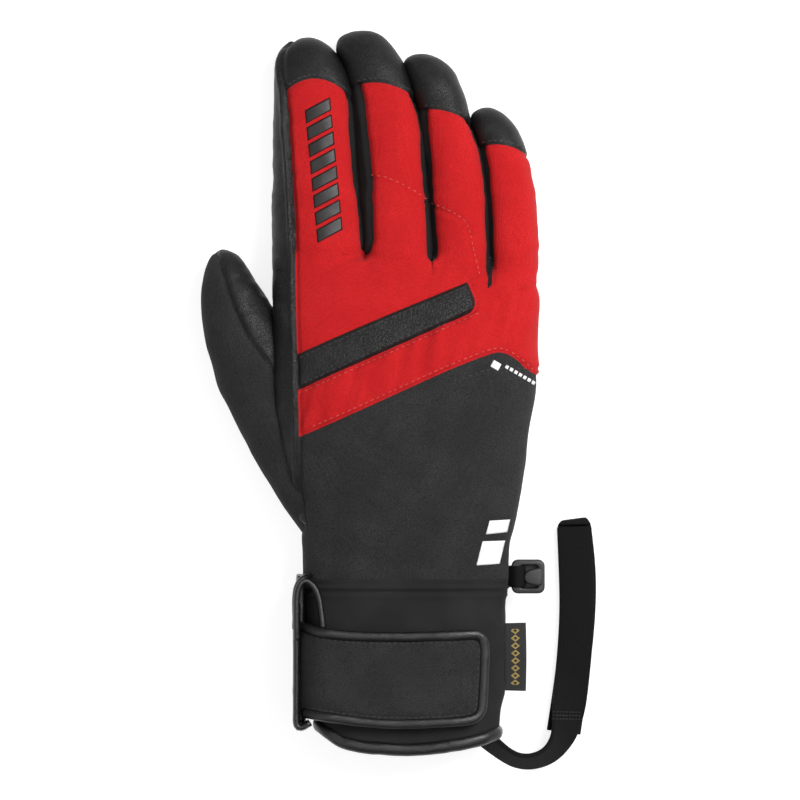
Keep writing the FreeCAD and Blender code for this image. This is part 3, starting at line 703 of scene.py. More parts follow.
def leather(name, base, light, grain=1400, shine=0.46, depth=0.22, specular=0.27):
    """Goat leather with a pebbled grain, rubbed a little lighter in scattered patches."""
    f = Finish(name, shine, Specular_IOR_Level=specular)
    pebble = f.texture("ShaderNodeTexVoronoi", grain, feature="SMOOTH_F1", Smoothness=0.35)
    crease = f.texture("ShaderNodeTexVoronoi", grain * 0.42, feature="DISTANCE_TO_EDGE")
    cloudy = f.texture("ShaderNodeTexNoise", 110, Detail=4.0)
    rub = f.texture("ShaderNodeTexNoise", 700, Detail=3.0)
    worn = (cloudy.between(0.45, 0.75) * 0.5 + rub.between(0.52, 0.8) * 0.35).low(1.0)
    f.colour(f.mix(worn, base, light))
    f.roughness(shine - 0.06 + cloudy * 0.2)
    f.relief(1.0 - pebble * 1.2 + crease.between(0.0, 0.08) * 0.7 + rub * 0.4, depth * MM, 0.7)
    return f.material


def knit(name, base, light):
    """Smooth knit face of laminated foam."""
    f = Finish(name, 0.82, Specular_IOR_Level=0.2)
    row = 2 * math.pi / (0.9 * MM)
    loops = (f.y * row).sine() * ((f.x + f.z) * row * 1.3).sine()
    speck = f.texture("ShaderNodeTexNoise", 1800, Detail=3.0)
    cloudy = f.texture("ShaderNodeTexNoise", 45, Detail=2.0)
    f.colour(f.mix((cloudy.between(0.35, 0.7) * 0.6 + speck * 0.3).low(1.0), base, light))
    f.relief(loops * 0.5 + speck, 0.15 * MM, 0.5)
    return f.material


def fleece(name, base, light):
    """Brushed pile of the lining."""
    f = Finish(name, 0.95, Sheen_Weight=0.5, Sheen_Roughness=0.6, Specular_IOR_Level=0.1)
    tuft = f.texture("ShaderNodeTexNoise", 900, Detail=5.0, Roughness=0.7)
    f.colour(f.mix(tuft.between(0.35, 0.7), base, light))
    f.relief(tuft, 0.8 * MM, 0.8)
    return f.material


def tape(name, base, light, across="band_u", ahead="band_v", pitch=0.9):
    """Flat woven webbing, its ribs following the strap's own length; painted shade darkens the hollows of the
    weave, over random flecks of tone.
    """
    f = Finish(name, 0.8, Specular_IOR_Level=0.14)
    u, v = f.attribute(across), f.attribute(ahead)
    ribs = (v * (2 * math.pi / (pitch * MM))).sine()
    cords = (u * (2 * math.pi / (1.5 * MM))).sine()
    weave = ribs * cords
    speck = f.texture("ShaderNodeTexNoise", 2400, Detail=2.0)
    # Painted shade: the colour is lighter on the raised weave and darker in its hollows; the flecks are
    # random tone.
    f.colour(f.mix((weave.between(-0.6, 1.0) * 0.5 + speck * 0.25).low(1.0), base, light))
    f.relief(weave * 0.7 + cords * 0.4 + speck * 0.6, 0.12 * MM, 0.6)
    return f.material


def plastic(name, base, shine=0.42):
    """Moulded nylon with a spark-eroded surface."""
    f = Finish(name, shine, Specular_IOR_Level=0.5)
    grain = f.texture("ShaderNodeTexNoise", 3200, Detail=3.0)
    haze = f.texture("ShaderNodeTexNoise", 150, Detail=2.0)
    f.colour(f.mix(haze.between(0.3, 0.8), base, tuple(c * 1.6 for c in base)))
    f.roughness(shine - 0.05 + haze * 0.16)
    f.relief(grain, 0.08 * MM, 0.5)
    return f.material


def thread(name, base):
    """Sewing thread with its twist, a quarter darker where the twist's relief is low: painted shade in the
    grooves.
    """
    f = Finish(name, 0.6, Sheen_Weight=0.2)
    twist_and_shade = ((f.x + f.y * 1.7 + f.z) * (2 * math.pi / (0.35 * MM))).sine()
    # Painted shade: the colour is darker in the low turns of the twist, in the same pattern as its relief.
    f.colour(f.mix(twist_and_shade.between(-1.0, 1.0), tuple(c * 0.75 for c in base), base))
    f.relief(twist_and_shade, 0.06 * MM, 0.6)
    return f.material


def hooks(name, base, light):
    """Hook and loop tape, lighter on the top of each raised hook as a painted highlight."""
    f = Finish(name, 0.8, Specular_IOR_Level=0.3)
    dots = f.texture("ShaderNodeTexVoronoi", 1500, feature="F1")
    # Painted highlight: each hook's raised top is lighter, fading to the dark base between the hooks.
    f.colour(f.mix(dots.between(0.1, 0.6), light, base))
    f.relief(1.0 - dots, 0.5 * MM, 0.8)
    return f.material


def label_cloth(name, base, gold):
    """Black woven tape with a row of plain gold lozenges."""
    f = Finish(name, 0.66, Sheen_Weight=0.15)
    u, v = f.attribute("band_u"), f.attribute("band_v")
    step = 3.0 * MM
    cell = ((v / step).part() - 0.5).size() * 2
    side = (u.size() / (1.9 * MM))
    lozenge = (cell + side).less(0.95) * (cell + side).more(0.45)
    mark = lozenge * v.size().less(11.2 * MM)
    threads = (u * (2 * math.pi / (0.5 * MM))).sine() * (v * (2 * math.pi / (0.5 * MM))).sine()
    f.colour(f.mix(mark, base, gold))
    f.relief(threads * 0.5 + mark * 0.8, 0.12 * MM, 0.6)
    return f.material


RED = softshell("red softshell", (0.50, 0.010, 0.012), (0.57, 0.015, 0.017), (0.38, 0.006, 0.008))
BLACK = softshell("black softshell", (0.026, 0.026, 0.0265), (0.037, 0.037, 0.038), (0.010, 0.010, 0.0103))
CAP_LEATHER = leather("fingertip leather", (0.006, 0.0058, 0.0058), (0.016, 0.0155, 0.0155), grain=2300,
                      shine=0.44, depth=0.10)
# Finger side walls: a darker copy of the black softshell, standing for painted shade in the narrow gaps
# between the fingers.
SHADED_SIDES = softshell("black softshell darkened as painted shade", (0.011, 0.011, 0.0113), (0.017, 0.017, 0.0175),
                  (0.007, 0.007, 0.0072))
LEATHER = leather("black goat leather", (0.008, 0.0078, 0.0078), (0.022, 0.0215, 0.0215))
STRIP_LEATHER = leather("side strip leather", (0.008, 0.0078, 0.0078), (0.031, 0.030, 0.030), grain=1900,
                        shine=0.42, depth=0.16)
BINDING = leather("binding leather", (0.0045, 0.0044, 0.0044), (0.011, 0.0108, 0.0108), grain=2600,
                  shine=0.29,
                  depth=0.06, specular=0.5)
GRIP = leather("grip leather", (0.02, 0.019, 0.019), (0.05, 0.048, 0.047), grain=900, shine=0.6, depth=0.4)
KNIT = knit("cuff knit", (0.011, 0.011, 0.0115), (0.019, 0.019, 0.020))
FLEECE = fleece("lining fleece", (0.02, 0.02, 0.021), (0.055, 0.055, 0.057))
WEBBING = tape("black webbing", (0.0035, 0.0035, 0.0037), (0.008, 0.008, 0.0083))
PLASTIC = plastic("clip nylon", (0.012, 0.012, 0.013))
RED_THREAD = thread("red thread", (0.66, 0.055, 0.05))
BLACK_THREAD = thread("black thread", (0.018, 0.018, 0.0185))
HOOKS = hooks("hook and loop tape", (0.012, 0.012, 0.012), (0.05, 0.05, 0.05))
LABEL = label_cloth("label weave", (0.008, 0.008, 0.008), (0.32, 0.235, 0.06))


# ---------------------------------------------------------------- the sewn skin of hand and fingers

def step_up(value, width=0.9):
    """0 below zero and 1 above the width, smooth between."""
    t = np.clip(value / width, 0, 1)
    return t * t * (3 - 2 * t)


def stretched(p, sx, sy, sz):
    """Points squeezed along each axis, so that noise on them runs in folds."""
    return p * np.array([sx, sy, sz])


def panel_of(p, only):
    """The name of the panel that each point is on."""
    names = np.full(len(p), "lower_back_panel", dtype="U24")
    x, z = p[:, 0] / MM, p[:, 2] / MM
    lane = finger_of(p, only)
    upper = back_edge_field(p) > 0
    names[upper] = "back_stripe"
    names[upper & (stripe_top_field(p) > 0)] = "back_panel"
    names[(z < side_level(x)) & (x > 0)] = "little_side_wall"
    names[band_field(p) > 0] = "knuckle_band"
    names[z < PALM_EDGE] = "palm_panel"
    names[strip_field(p) > 0] = "index_side_strip"
    base = plane_field(CUT_BASE, only)(p) > 0
    tip = plane_field(CUT_MIDDLE, only)(p) > 0
    for number, finger in enumerate(FINGERS):
        mine = (lane == number) & base
        part = np.where(tip[mine], "tip", "base")
        q = p[mine]
        kind = np.full(len(q), "sides", dtype="U12")
        kind[seam_field(finger)(q) > 0] = "back"
        kind[q[:, 2] / MM < PALM_EDGE] = "palm"
        if finger == "index":
            kind[strip_field(q) > 0] = "strip"
        kind[cap_field(finger)(q) > 0] = "cap"
        names[mine] = [f"{finger}_{a}_{b}" for a, b in zip(part, kind)]
    return names


def relief_of(p, only):
    """How far the skin stands in or out at each point: turned edges, seams, folds, in millimetres."""
    x, y, z = p.T / MM
    lane = finger_of(p, only)
    ahead, up = slant_of(p)
    base = plane_field(CUT_BASE, only)(p) > 0
    top = step_up(z - SIDE_EDGE, 2.0)
    height = 0.50 * noise(p, 15 * MM, 3) + 0.22 * noise(p, 7 * MM, 4) + 0.05 * noise(p, 2.6 * MM, 5)
    folds = noise(stretched(p, 0.35, 1, 0.5), 6.5 * MM, 6)
    levels = np.array([CUT_BASE[name] for name in FINGERS])[lane]
    onto = step_up(y - levels + 8, 16)
    height += (0.08 + 0.24 * onto) * folds
    strip = strip_field(p)
    for number, finger in enumerate(FINGERS):
        mine = (lane == number) & base
        seam, cap = seam_field(finger)(p), cap_field(finger)(p)
        ripple = noise(stretched(p, 0.1, 1, 0.1), 3.1 * MM, 20 + number)
        near = mine * (cap < 0) * step_up(y - CUT_BASE[finger], 3)
        height += near * (-0.85 * bump(seam, 1.0) + 0.30 * ripple * bump(seam - 1.5, 3.2)
                          + 0.45 * step_up(seam, 2.5) + 0.5 * bump(seam + 2.0, 0.7))
        height += mine * (0.5 * step_up(cap, 1.2) * (strip < 0) - 0.75 * bump(cap + 0.5, 0.8) * (strip < -1)
                          + 0.22 * bump(cap + 3, 3.0) * noise(stretched(p, 1, 0.2, 1), 3.4 * MM, 30 + number))
    for near_finger, far_finger in GAPS if only is None else ():
        edge = (along(FINGERS[near_finger], y)[:, 1] + along(FINGERS[far_finger], y)[:, 0]) / 2
        start = max(SEAMS[far_finger][1][0], CUT_BASE[far_finger])
        height -= 1.3 * bump(x - edge, 1.3) * step_up(y - start - 2, 6) * step_up(z - 8, 4)
    for xc, yc in ((-2.3, 55), (24.2, 52), (46.6, 41)):
        height -= (1.5 * bump(x - xc + 0.1 * (yc - y), 5.5) * np.exp(-np.abs(yc - y) / 11)
                   * step_up(yc + 2 - y, 5))
    palm_seam = z - PALM_EDGE
    height -= 0.6 * bump(palm_seam, 0.9)
    hand = ~base
    crease = noise(stretched(p, 0.3, 1, 0.4), 2.4 * MM, 40)
    height += (step_up(strip, 0.7) * (0.5 + 0.12 * crease)
               + (0.8 * bump(strip - 1.3, 0.9) - 0.8 * bump(strip + 0.5, 0.8))
               * (1 - 0.8 * step_up(y - 108, 16)))
    band = band_field(p)
    height += hand * (0.65 * step_up(band, 0.8) - 0.6 * bump(band + 0.6, 0.9))
    slow = np.stack([ahead, up * 0.1, z * 0], axis=1) * MM
    ripple = noise(slow, 3.0 * MM, 50)
    low_line, top_line = up - band_low(ahead), up - stripe_low(ahead)
    inboard = step_up(-strip - 0.3, 0.8)
    on_stripe = hand * top * inboard * (low_line < 0.5) * (top_line > -0.5) * (band < 0)
    slanting = np.stack([ahead - 0.75 * up, up * 0.16, z * 0], axis=1) * MM
    height += on_stripe * (0.85 * noise(slanting, 5.2 * MM, 51) + 0.35 * noise(slanting, 2.6 * MM, 52)
                           + 0.45 * step_up(-low_line, 5) * step_up(top_line, 5))
    height += hand * top * inboard * ((0.3 * ripple * bump(low_line + 2, 2.4) - 0.9 * bump(low_line, 0.9))
                            * (1 - step_up(ahead - 77, 4))
                            - 1.0 * bump(top_line, 1.0) + 0.3 * ripple * bump(top_line - 2, 2.4))
    lower = hand * (top_line < 0) * (z > PALM_EDGE)
    draw = np.stack([x - 0.35 * y, y * 0.28, z * 0.5], axis=1) * MM
    wrist = step_up(-30 - y, 30)
    height += lower * (0.42 * noise(draw, 8 * MM, 60) * step_up(-top_line, 6)
                       + wrist * (0.5 * noise(stretched(p, 0.5, 1, 0.5), 6 * MM, 61)))
    flex = label_seam(p)
    height += hand * top * (-0.9 * bump(flex, 0.8)) * (ahead > 66) * (x < 66)
    for finger, line in CROSS_SEAMS.items():
        mine = (lane == list(FINGERS).index(finger)) & (z > SIDE_EDGE)
        gap = y - along(line, x)[:, 0]
        ok = mine * (x > line[0][0] - 1.5) * (x < line[-1][0] + 1.5)
        height += ok * (-0.6 * bump(gap, 0.8) + 0.3 * step_up(-gap, 0.6) * bump(gap, 3.0))
    drop_seam = x - along(DROP_SEAM, y)[:, 0]
    ok = (y > 46) & (y < 66) & (z > SIDE_EDGE)
    height += ok * -0.5 * bump(drop_seam, 0.8)
    return height


CROSS_SEAMS = {"middle": [(-0.4, 85.4), (6, 84.2), (14, 80.6), (21.6, 76.2)],
               "ring": [(23.8, 74.2), (30, 71.4), (36.4, 67.6), (38.4, 63)]}
DROP_SEAM = [(44, 42.0), (51, 40.2), (57, 39.2), (64, 38.0), (70, 37.0)]
LABEL_SEAM = [(66, -20.6), (72, -20.9), (80, -23.2), (88, -27.0), (94, -31.4), (100, -37)]


def label_seam(p):
    """Distance from the seam below the small printed panel."""
    ahead, up = slant_of(p)
    return up - along(LABEL_SEAM, ahead)[:, 0]


WALL = 1.5 * MM


def sewn_down(p):
    """How firmly each point of the padded shell is held by a seam, from 0 to 1."""
    lane = finger_of(p)
    ahead, up = slant_of(p)
    held = bump(up - band_low(ahead), 3.0) + bump(up - stripe_low(ahead), 3.0) + bump(band_field(p), 2.5)
    held = held * (p[:, 1] / MM < 60) + bump(strip_field(p), 2.5)
    for number, finger in enumerate(FINGERS):
        held = held + (lane == number) * (bump(seam_field(finger)(p), 2.5) * (p[:, 1] / MM > CUT_BASE[finger])
                                          + bump(cap_field(finger)(p), 2.5))
    return np.clip(held + (p[:, 2] / MM < PALM_EDGE) + (p[:, 1] / MM < -66), 0, 1)


def settle(parts):
    """Let the padding swell the shell between its seams, and return a function of how far any point moves."""
    coarse, coarse_tris = voxel_skin("padding", parts, 4.5 * MM)
    thing = mesh_object("padding", coarse, [tuple(int(i) for i in t) for t in coarse_tris])
    pins = thing.vertex_groups.new(name="seams")
    for n, held in enumerate(sewn_down(coarse)):
        if held > 0.02:
            pins.add([n], float(held), "REPLACE")
    cloth = thing.modifiers.new("padding", "CLOTH")
    cloth.settings.quality = 6
    cloth.settings.mass = 0.12
    cloth.settings.tension_stiffness = cloth.settings.compression_stiffness = 5
    cloth.settings.bending_stiffness = 0.3
    cloth.settings.vertex_group_mass = "seams"
    cloth.settings.use_pressure = True
    cloth.settings.uniform_pressure_force = 6
    cloth.settings.effector_weights.gravity = 0
    cloth.point_cache.frame_start, cloth.point_cache.frame_end = 1, 20
    scene = bpy.context.scene
    scene.frame_start, scene.frame_end = 1, 20
    for step in range(1, 21):
        scene.frame_set(step)
        graph = bpy.context.evaluated_depsgraph_get()
        shape = thing.evaluated_get(graph).data
        moved = np.empty(len(shape.vertices) * 3)
        shape.vertices.foreach_get("co", moved)
    scene.frame_set(1)
    drop(thing)
    move = moved.reshape(-1, 3) - coarse
    size = np.linalg.norm(move, axis=1, keepdims=True)
    move *= np.minimum(1, 1.6 * MM / np.maximum(size, 1e-9))
    tree = KDTree(len(coarse))
    for n, spot in enumerate(coarse):
        tree.insert(spot, n)
    tree.balance()

    def moves(points):
        result = np.zeros_like(points)
        for n, spot in enumerate(points):
            near = tree.find_n(spot, 5)
            weight = np.array([1 / (item[2] + 0.6 * MM) ** 2 for item in near])
            result[n] = (move[[item[1] for item in near]] * weight[:, None]).sum(0) / weight.sum()
        return result
    return moves


def only_in(finger, field, only):
    """A field that counts only in one finger's lane, past the root."""
    number = list(FINGERS).index(finger)

    def limited(p):
        lane = finger_of(p, only) == number
        return np.where(lane & (plane_field(CUT_BASE, only)(p) > -1), field(p), -50)
    return limited


def shell(parts, only=None):
    """A skin cut along every seam, before and after its relief: places, triangles, skin, its normals."""
    points, tris = voxel_skin("glove_skin", parts, VOXEL)
    points = smooth(points, tris, 8 if VOXEL < 1.2 * MM else 4)
    cuts = [palm_field, strip_field, plane_field(CUT_BASE, only)]
    if only is None:
        cuts += [back_edge_field, stripe_top_field, band_field, side_field, cuff_field]
        cuts += [only_in(finger, seam_field(finger), only) for finger in FINGERS]
    else:
        finger = list(FINGERS)[only]
        cuts += [plane_field(CUT_MIDDLE, only), lambda p: p[:, 1] / MM - FREE,
                 only_in(finger, seam_field(finger), only), only_in(finger, cap_field(finger), only)]
    for cut in cuts:
        points, tris = split_along(points, tris, cut)
    lift = np.clip(relief_of(points, only) * MM, -2.2 * MM, 1.9 * MM)
    skin = points + normals_of(points, tris) * lift[:, None]
    if swelling:
        skin = skin + smooth(swelling(points), tris, 3)
    skin[:, 2] = np.maximum(skin[:, 2], 0.6 * MM)
    return points, tris, skin, normals_of(skin, tris)


def meet_hand(skin, points, only):
    """Bring the root of a finger's skin onto the skin of the hand, so that the two meet at the cut."""
    past = points[:, 1] / MM - CUT_BASE[list(FINGERS)[only]]
    skin = skin.copy()
    for n in np.flatnonzero((past > -2) & (past < 5)):
        place, _, _, distance = hand_tree.find_nearest(skin[n])
        if distance < 1.2 * MM:
            skin[n] += (np.array(place) - skin[n]) * (1 - float(step_up(past[n], 5)))
    return skin


swelling = settle([hand_body()] + [finger_body(name) for name in FINGERS])
shells = []
Shell = namedtuple("Shell", "tris skin normals centres panels kept")
hand_tree = None
for only in [None] + list(range(len(FINGERS))):
    if only is None:
        parts = [hand_body()] + [finger_body(name, 80) for name in FINGERS]
    else:
        parts = [hand_body(22.0), finger_body(list(FINGERS)[only], touching=True)]
    points, tris, skin, skin_normals = shell(parts, only)
    if only is None:
        hand_tree = BVHTree.FromPolygons([tuple(p) for p in skin], [tuple(int(i) for i in t) for t in tris])
    else:
        skin = meet_hand(skin, points, only)
        skin_normals = normals_of(skin, tris)
    centres = points[tris].mean(1)
    panels = panel_of(centres, only)
    past = plane_field(CUT_BASE, only)(centres) > 0
    if only is None:
        kept = ~past & (centres[:, 1] / MM > CUFF_START - 4)
    else:
        kept = past & (finger_of(centres, only) == only)
    shells.append(Shell(tris, skin, skin_normals, centres, panels, kept))
offsets = np.cumsum([0] + [len(made.skin) for made in shells])
skin_tree = BVHTree.FromPolygons([tuple(p) for made in shells for p in made.skin],
                                 [tuple(int(i + start) for i in t) for made, start in zip(shells, offsets)
                                  for t in made.tris[made.kept]])

PANEL_FINISH = {"back_panel": RED, "back_stripe": RED, "lower_back_panel": BLACK, "knuckle_band": LEATHER,
                "little_side_wall": BLACK, "palm_panel": LEATHER, "index_side_strip": STRIP_LEATHER}
# The side walls take the darkened copy of the black softshell, as painted shade between the fingers.
KIND_FINISH = {"back": RED, "sides": SHADED_SIDES, "palm": LEATHER, "cap": CAP_LEATHER, "strip": STRIP_LEATHER}
HAND_STANDS_FOR = {"palm_panel": ["palm_panel", "hand_lining"],
                   "back_panel": ["back_panel", "back_insulation"]}


def across_joint(piece, joint, before):
    """Find a joint and the place a given distance before it along its finger, and bake the piece's transform;
    the piece is not bent.
    """
    at = Vector(JOINTS[joint]["pos_m"])
    way = Vector(JOINTS[joint]["axis"]).cross(Vector((0, 0, -1))).normalized()
    if way.y < 0:
        way = -way
    tuple(at + way * before * MM)
    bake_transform(piece)


def digit_bend(piece, finger, part):
    """Pass one half of a finger to its own joint through across_joint; the piece is not bent."""
    if part == "base":
        level = CUT_BASE[finger] - JOINTS[f"{finger}_knuckle_bend"]["pos_m"][1] / MM
        across_joint(piece, f"{finger}_knuckle_bend", max(level, -6.5))
    else:
        across_joint(piece, f"{finger}_tip_bend", -9)


SCRAP = 12   # fewer triangles than this are an offcut of a seam, not a panel


def sew_panel(made, panel):
    """One panel of the hand or of a finger, with its finish and the solids it stands for."""
    picked = made.kept & (made.panels == panel)
    if picked.sum() < SCRAP:
        return
    finger = panel.split("_")[0]
    if finger in FINGERS and panel not in PANEL_FINISH:
        finger, part, kind = panel.split("_")
        finish = KIND_FINISH[kind]
    else:
        finger, finish = None, PANEL_FINISH[panel]
    piece = skin_piece(panel + "_cloth", made.skin, made.normals, made.tris, picked, WALL, [finish, FLEECE])
    if finger:
        digit_bend(piece, finger, part)
        node = {"cap": f"{finger}_fingertip_cap", "palm": f"{finger}_base_palm"}.get(kind)
        if kind in ("back", "sides"):
            node = f"{finger}_{part}_{kind}"
        if kind == "palm" and part == "tip":
            node = None
        if kind == "strip" or node == f"{finger}_tip_sides":
            node = None
        stands = [node] if node else []
        if kind == "palm":
            stands.append(f"{finger}_{part}_lining")
        if stands:
            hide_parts(*stands)
    else:
        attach(piece, "hand")
        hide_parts(*HAND_STANDS_FOR.get(panel, [panel]))


for made in shells:
    for panel in sorted(set(made.panels[made.kept])):
        sew_panel(made, panel)

hand_skin = shells[0]
patch_middle = hand_skin.centres / MM
inside = (np.minimum(np.minimum(patch_middle[:, 0] + 23, 39 - patch_middle[:, 0]),
                     np.minimum(patch_middle[:, 1] + 35, 39 - patch_middle[:, 1])) > 0)
inside &= patch_middle[:, 2] < 5
patch_skin = hand_skin.skin.copy()
patch_skin[:, 2] -= 0.5 * MM
patch = skin_piece("palm_grip_patch_leather", patch_skin, hand_skin.normals, hand_skin.tris, inside, 0.9 * MM,
                   [GRIP])
seat(patch, "hand", "grip_leather", "palm_grip_patch")


# ---------------------------------------------------------------- thumb

def thumb_place(p):
    """Distance up the thumb from its root and to the right of its middle line, in millimetres."""
    flat = p[:, :2] / MM - np.array(THUMB_ROOT)
    return flat @ THUMB_AXIS, flat @ THUMB_SIDE


def thumb_seam(p):
    """Positive on the leather side of the thumb."""
    x, y, z = p.T / MM
    return (x - along(THUMB_SEAM, y)[:, 0]) * 0.8 + np.where(z < 11, (11 - z) * 1.4, 0)


def thumb_cut(level):
    """Positive past a cut across the thumb."""
    return lambda p: thumb_place(p)[0] - level


THUMB_MIDDLE = 60.0
thumb_points, thumb_tris = voxel_skin("thumb_skin", [thumb_body()], VOXEL)
thumb_points = smooth(thumb_points, thumb_tris, 5)
for cut in (thumb_seam, thumb_cut(THUMB_MIDDLE)):
    thumb_points, thumb_tris = split_along(thumb_points, thumb_tris, cut)
d, side = thumb_place(thumb_points)
seam = thumb_seam(thumb_points)
folded = np.stack([side * 0.35, d, thumb_points[:, 2] / MM * 0.4], axis=1) * MM
height = (0.5 * noise(thumb_points, 13 * MM, 70) + 0.2 * noise(thumb_points, 6 * MM, 71)
          - 0.8 * bump(seam, 1.0) + 0.4 * step_up(seam, 1.0)
          + step_up(seam, 2) * (0.5 * noise(folded, 4.4 * MM, 72) + 0.25 * noise(folded, 2.2 * MM, 73))
          + step_up(-seam, 2) * 0.28 * noise(folded, 7 * MM, 74))
thumb_normals = normals_of(thumb_points, thumb_tris)
thumb_skin = thumb_points + thumb_normals * (np.clip(height, -1.5, 1.6) * MM)[:, None]
thumb_skin[:, 2] = np.maximum(thumb_skin[:, 2], 0.6 * MM)
thumb_normals = normals_of(thumb_skin, thumb_tris)
middle = thumb_points[thumb_tris].mean(1)
leathered = thumb_seam(middle) > 0
past = thumb_cut(THUMB_MIDDLE)(middle) > 0
for part, half in (("base", ~past), ("tip", past)):
    for kind, picked, finish in (("inner", leathered, CAP_LEATHER), ("outer", ~leathered, BLACK)):
        piece = skin_piece(f"thumb_{part}_{kind}_cloth", thumb_skin, thumb_normals, thumb_tris, half & picked,
                           WALL, [finish, FLEECE])
        if part == "base":
            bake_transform(piece)
        else:
            across_joint(piece, "thumb_bend", -11)
        stands = [f"thumb_{part}_{kind}"]
        if kind == "inner":
            stands.append(f"thumb_{part}_lining")
        if part == "base" and kind == "outer":
            stands.append("thumb_gusset")
        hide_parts(*stands)
        "black_leather" if kind == "inner" else "black_softshell"


# ---------------------------------------------------------------- building blocks for the other pieces

def unit(v):
    return v / np.maximum(np.linalg.norm(v, axis=-1, keepdims=True), 1e-12)


def curve_through(points, step=1.0, closed=False):
    """Points every step millimetres along a smooth curve through the given ones."""
    p = np.array(points, float)
    if closed:
        p = np.concatenate([p[-1:], p, p[:2]])
    else:
        p = np.concatenate([2 * p[:1] - p[1:2], p, 2 * p[-1:] - p[-2:-1]])
    t = np.linspace(0, 1, 24, endpoint=False)[:, None]
    runs = []
    for a, b, c, d in zip(p, p[1:], p[2:], p[3:]):
        runs.append(0.5 * (2 * b + (c - a) * t + (2 * a - 5 * b + 4 * c - d) * t ** 2
                           + (3 * b - a - 3 * c + d) * t ** 3))
    line = np.concatenate(runs + [p[-2:-1]])
    return evenly(line, step)


def evenly(line, step):
    """The same line with points at equal distances."""
    far = np.concatenate([[0], np.cumsum(np.linalg.norm(np.diff(line, axis=0), axis=1))])
    at = np.linspace(0, far[-1], max(2, int(round(far[-1] / step)) + 1))
    return np.stack([np.interp(at, far, line[:, n]) for n in range(line.shape[1])], axis=1)


def finished(name, points, faces, materials, picks=None, marks=None, flat=()):
    """A shown mesh piece in metres, smooth but for the listed faces."""
    thing = mesh_object(name, points, faces, materials, picks)
    mesh = thing.data
    smooth_faces = np.ones(len(mesh.polygons), bool)
    smooth_faces[list(flat)] = False
    mesh.polygons.foreach_set("use_smooth", smooth_faces)
    for key, values in (marks or {}).items():
        layer = mesh.attributes.new(key, "FLOAT", "POINT")
        layer.data.foreach_set("value", np.asarray(values, float))
    mesh.update()
    return thing


def superellipse(a, b, power, count):
    """A rounded flat section, wide and high, as points round it."""
    angle = np.linspace(0, 2 * math.pi, count, endpoint=False)
    c, s = np.cos(angle), np.sin(angle)
    return np.stack([a * np.sign(c) * np.abs(c) ** (2 / power),
                     b * np.sign(s) * np.abs(s) ** (2 / power)], axis=1)


def sweep(name, path, ups, profile, materials, closed=False, turn=None, wobble=0.0, seed=1,
          widths=1.0):
    """A profile carried along a path in millimetres, its height along ups, turned about the path by turn."""
    path, ups = np.array(path, float), np.array(ups, float)
    if closed:
        ahead = unit(np.roll(path, -1, axis=0) - np.roll(path, 1, axis=0))
    else:
        ahead = unit(np.gradient(path, axis=0))
    side = unit(np.cross(ahead, np.broadcast_to(ups, path.shape)))
    rise = np.cross(side, ahead)
    if turn is not None:
        c, s = np.cos(turn)[:, None], np.sin(turn)[:, None]
        side, rise = side * c + rise * s, rise * c - side * s
    broad = np.broadcast_to(widths, len(path))[:, None, None]
    rings = (path[:, None] + side[:, None] * profile[None, :, :1] * broad
             + rise[:, None] * profile[None, :, 1:])
    count, around = rings.shape[:2]
    points = rings.reshape(-1, 3) * MM
    if wobble:
        out = unit(rings - path[:, None]).reshape(-1, 3)
        points = points + out * (noise(points, 3.2 * MM, seed) * wobble * MM)[:, None]
    faces = []
    last = count if closed else count - 1
    for k in range(last):
        a, b = k * around, ((k + 1) % count) * around
        for n in range(around):
            m = (n + 1) % around
            faces.append((a + n, a + m, b + m, b + n))
    flat = ()
    if not closed:
        flat = (len(faces), len(faces) + 1)
        faces.append(tuple(reversed(range(around))))
        faces.append(tuple(range((count - 1) * around, count * around)))
    far = np.concatenate([[0], np.cumsum(np.linalg.norm(np.diff(path, axis=0), axis=1))])
    marks = {"band_u": np.tile(profile[:, 0], count) * MM,
             "band_v": np.repeat(far - far[-1] / 2, around) * MM}
    thing = finished(name, points, faces, materials, marks=marks, flat=flat)
    set_outward(thing)
    return thing


def set_outward(thing):
    """Turn every face of a closed piece outward."""
    mesh = bmesh.new()
    mesh.from_mesh(thing.data)
    bmesh.ops.recalc_face_normals(mesh, faces=mesh.faces)
    mesh.to_mesh(thing.data)
    mesh.free()


def moulded(name, outlines, low, high, bevel, material):
    """A flat part with round edges from outlines in millimetres, the first outside and the rest holes."""
    curve = bpy.data.curves.new(name, "CURVE")
    curve.dimensions, curve.fill_mode = "2D", "BOTH"
    for outline in outlines:
        spline = curve.splines.new("POLY")
        spline.points.add(len(outline) - 1)
        for point, (x, y) in zip(spline.points, outline):
            point.co = (x * MM, y * MM, 0, 1)
        spline.use_cyclic_u = True
    curve.extrude = ((high - low) / 2 - bevel) * MM
    curve.bevel_depth, curve.bevel_resolution, curve.offset = bevel * MM, 2, -bevel * MM
    holder = bpy.data.objects.new(name + "_outline", curve)
    bpy.context.scene.collection.objects.link(holder)
    graph = bpy.context.evaluated_depsgraph_get()
    mesh = bpy.data.meshes.new_from_object(holder.evaluated_get(graph))
    bpy.data.objects.remove(holder)
    for vertex in mesh.vertices:
        vertex.co.z += (high + low) / 2 * MM
    mesh.materials.clear()
    mesh.materials.append(material)
    mesh.name = name
    thing = bpy.data.objects.new(name, mesh)
    bpy.context.scene.collection.objects.link(thing)
    tidy = bmesh.new()
    tidy.from_mesh(mesh)
    bmesh.ops.remove_doubles(tidy, verts=tidy.verts, dist=0.01 * MM)
    bmesh.ops.recalc_face_normals(tidy, faces=tidy.faces)
    tidy.to_mesh(mesh)
    tidy.free()
    mesh.polygons.foreach_set("use_smooth", np.ones(len(mesh.polygons), bool))
    mesh.set_sharp_from_angle(angle=math.radians(40))
    return thing


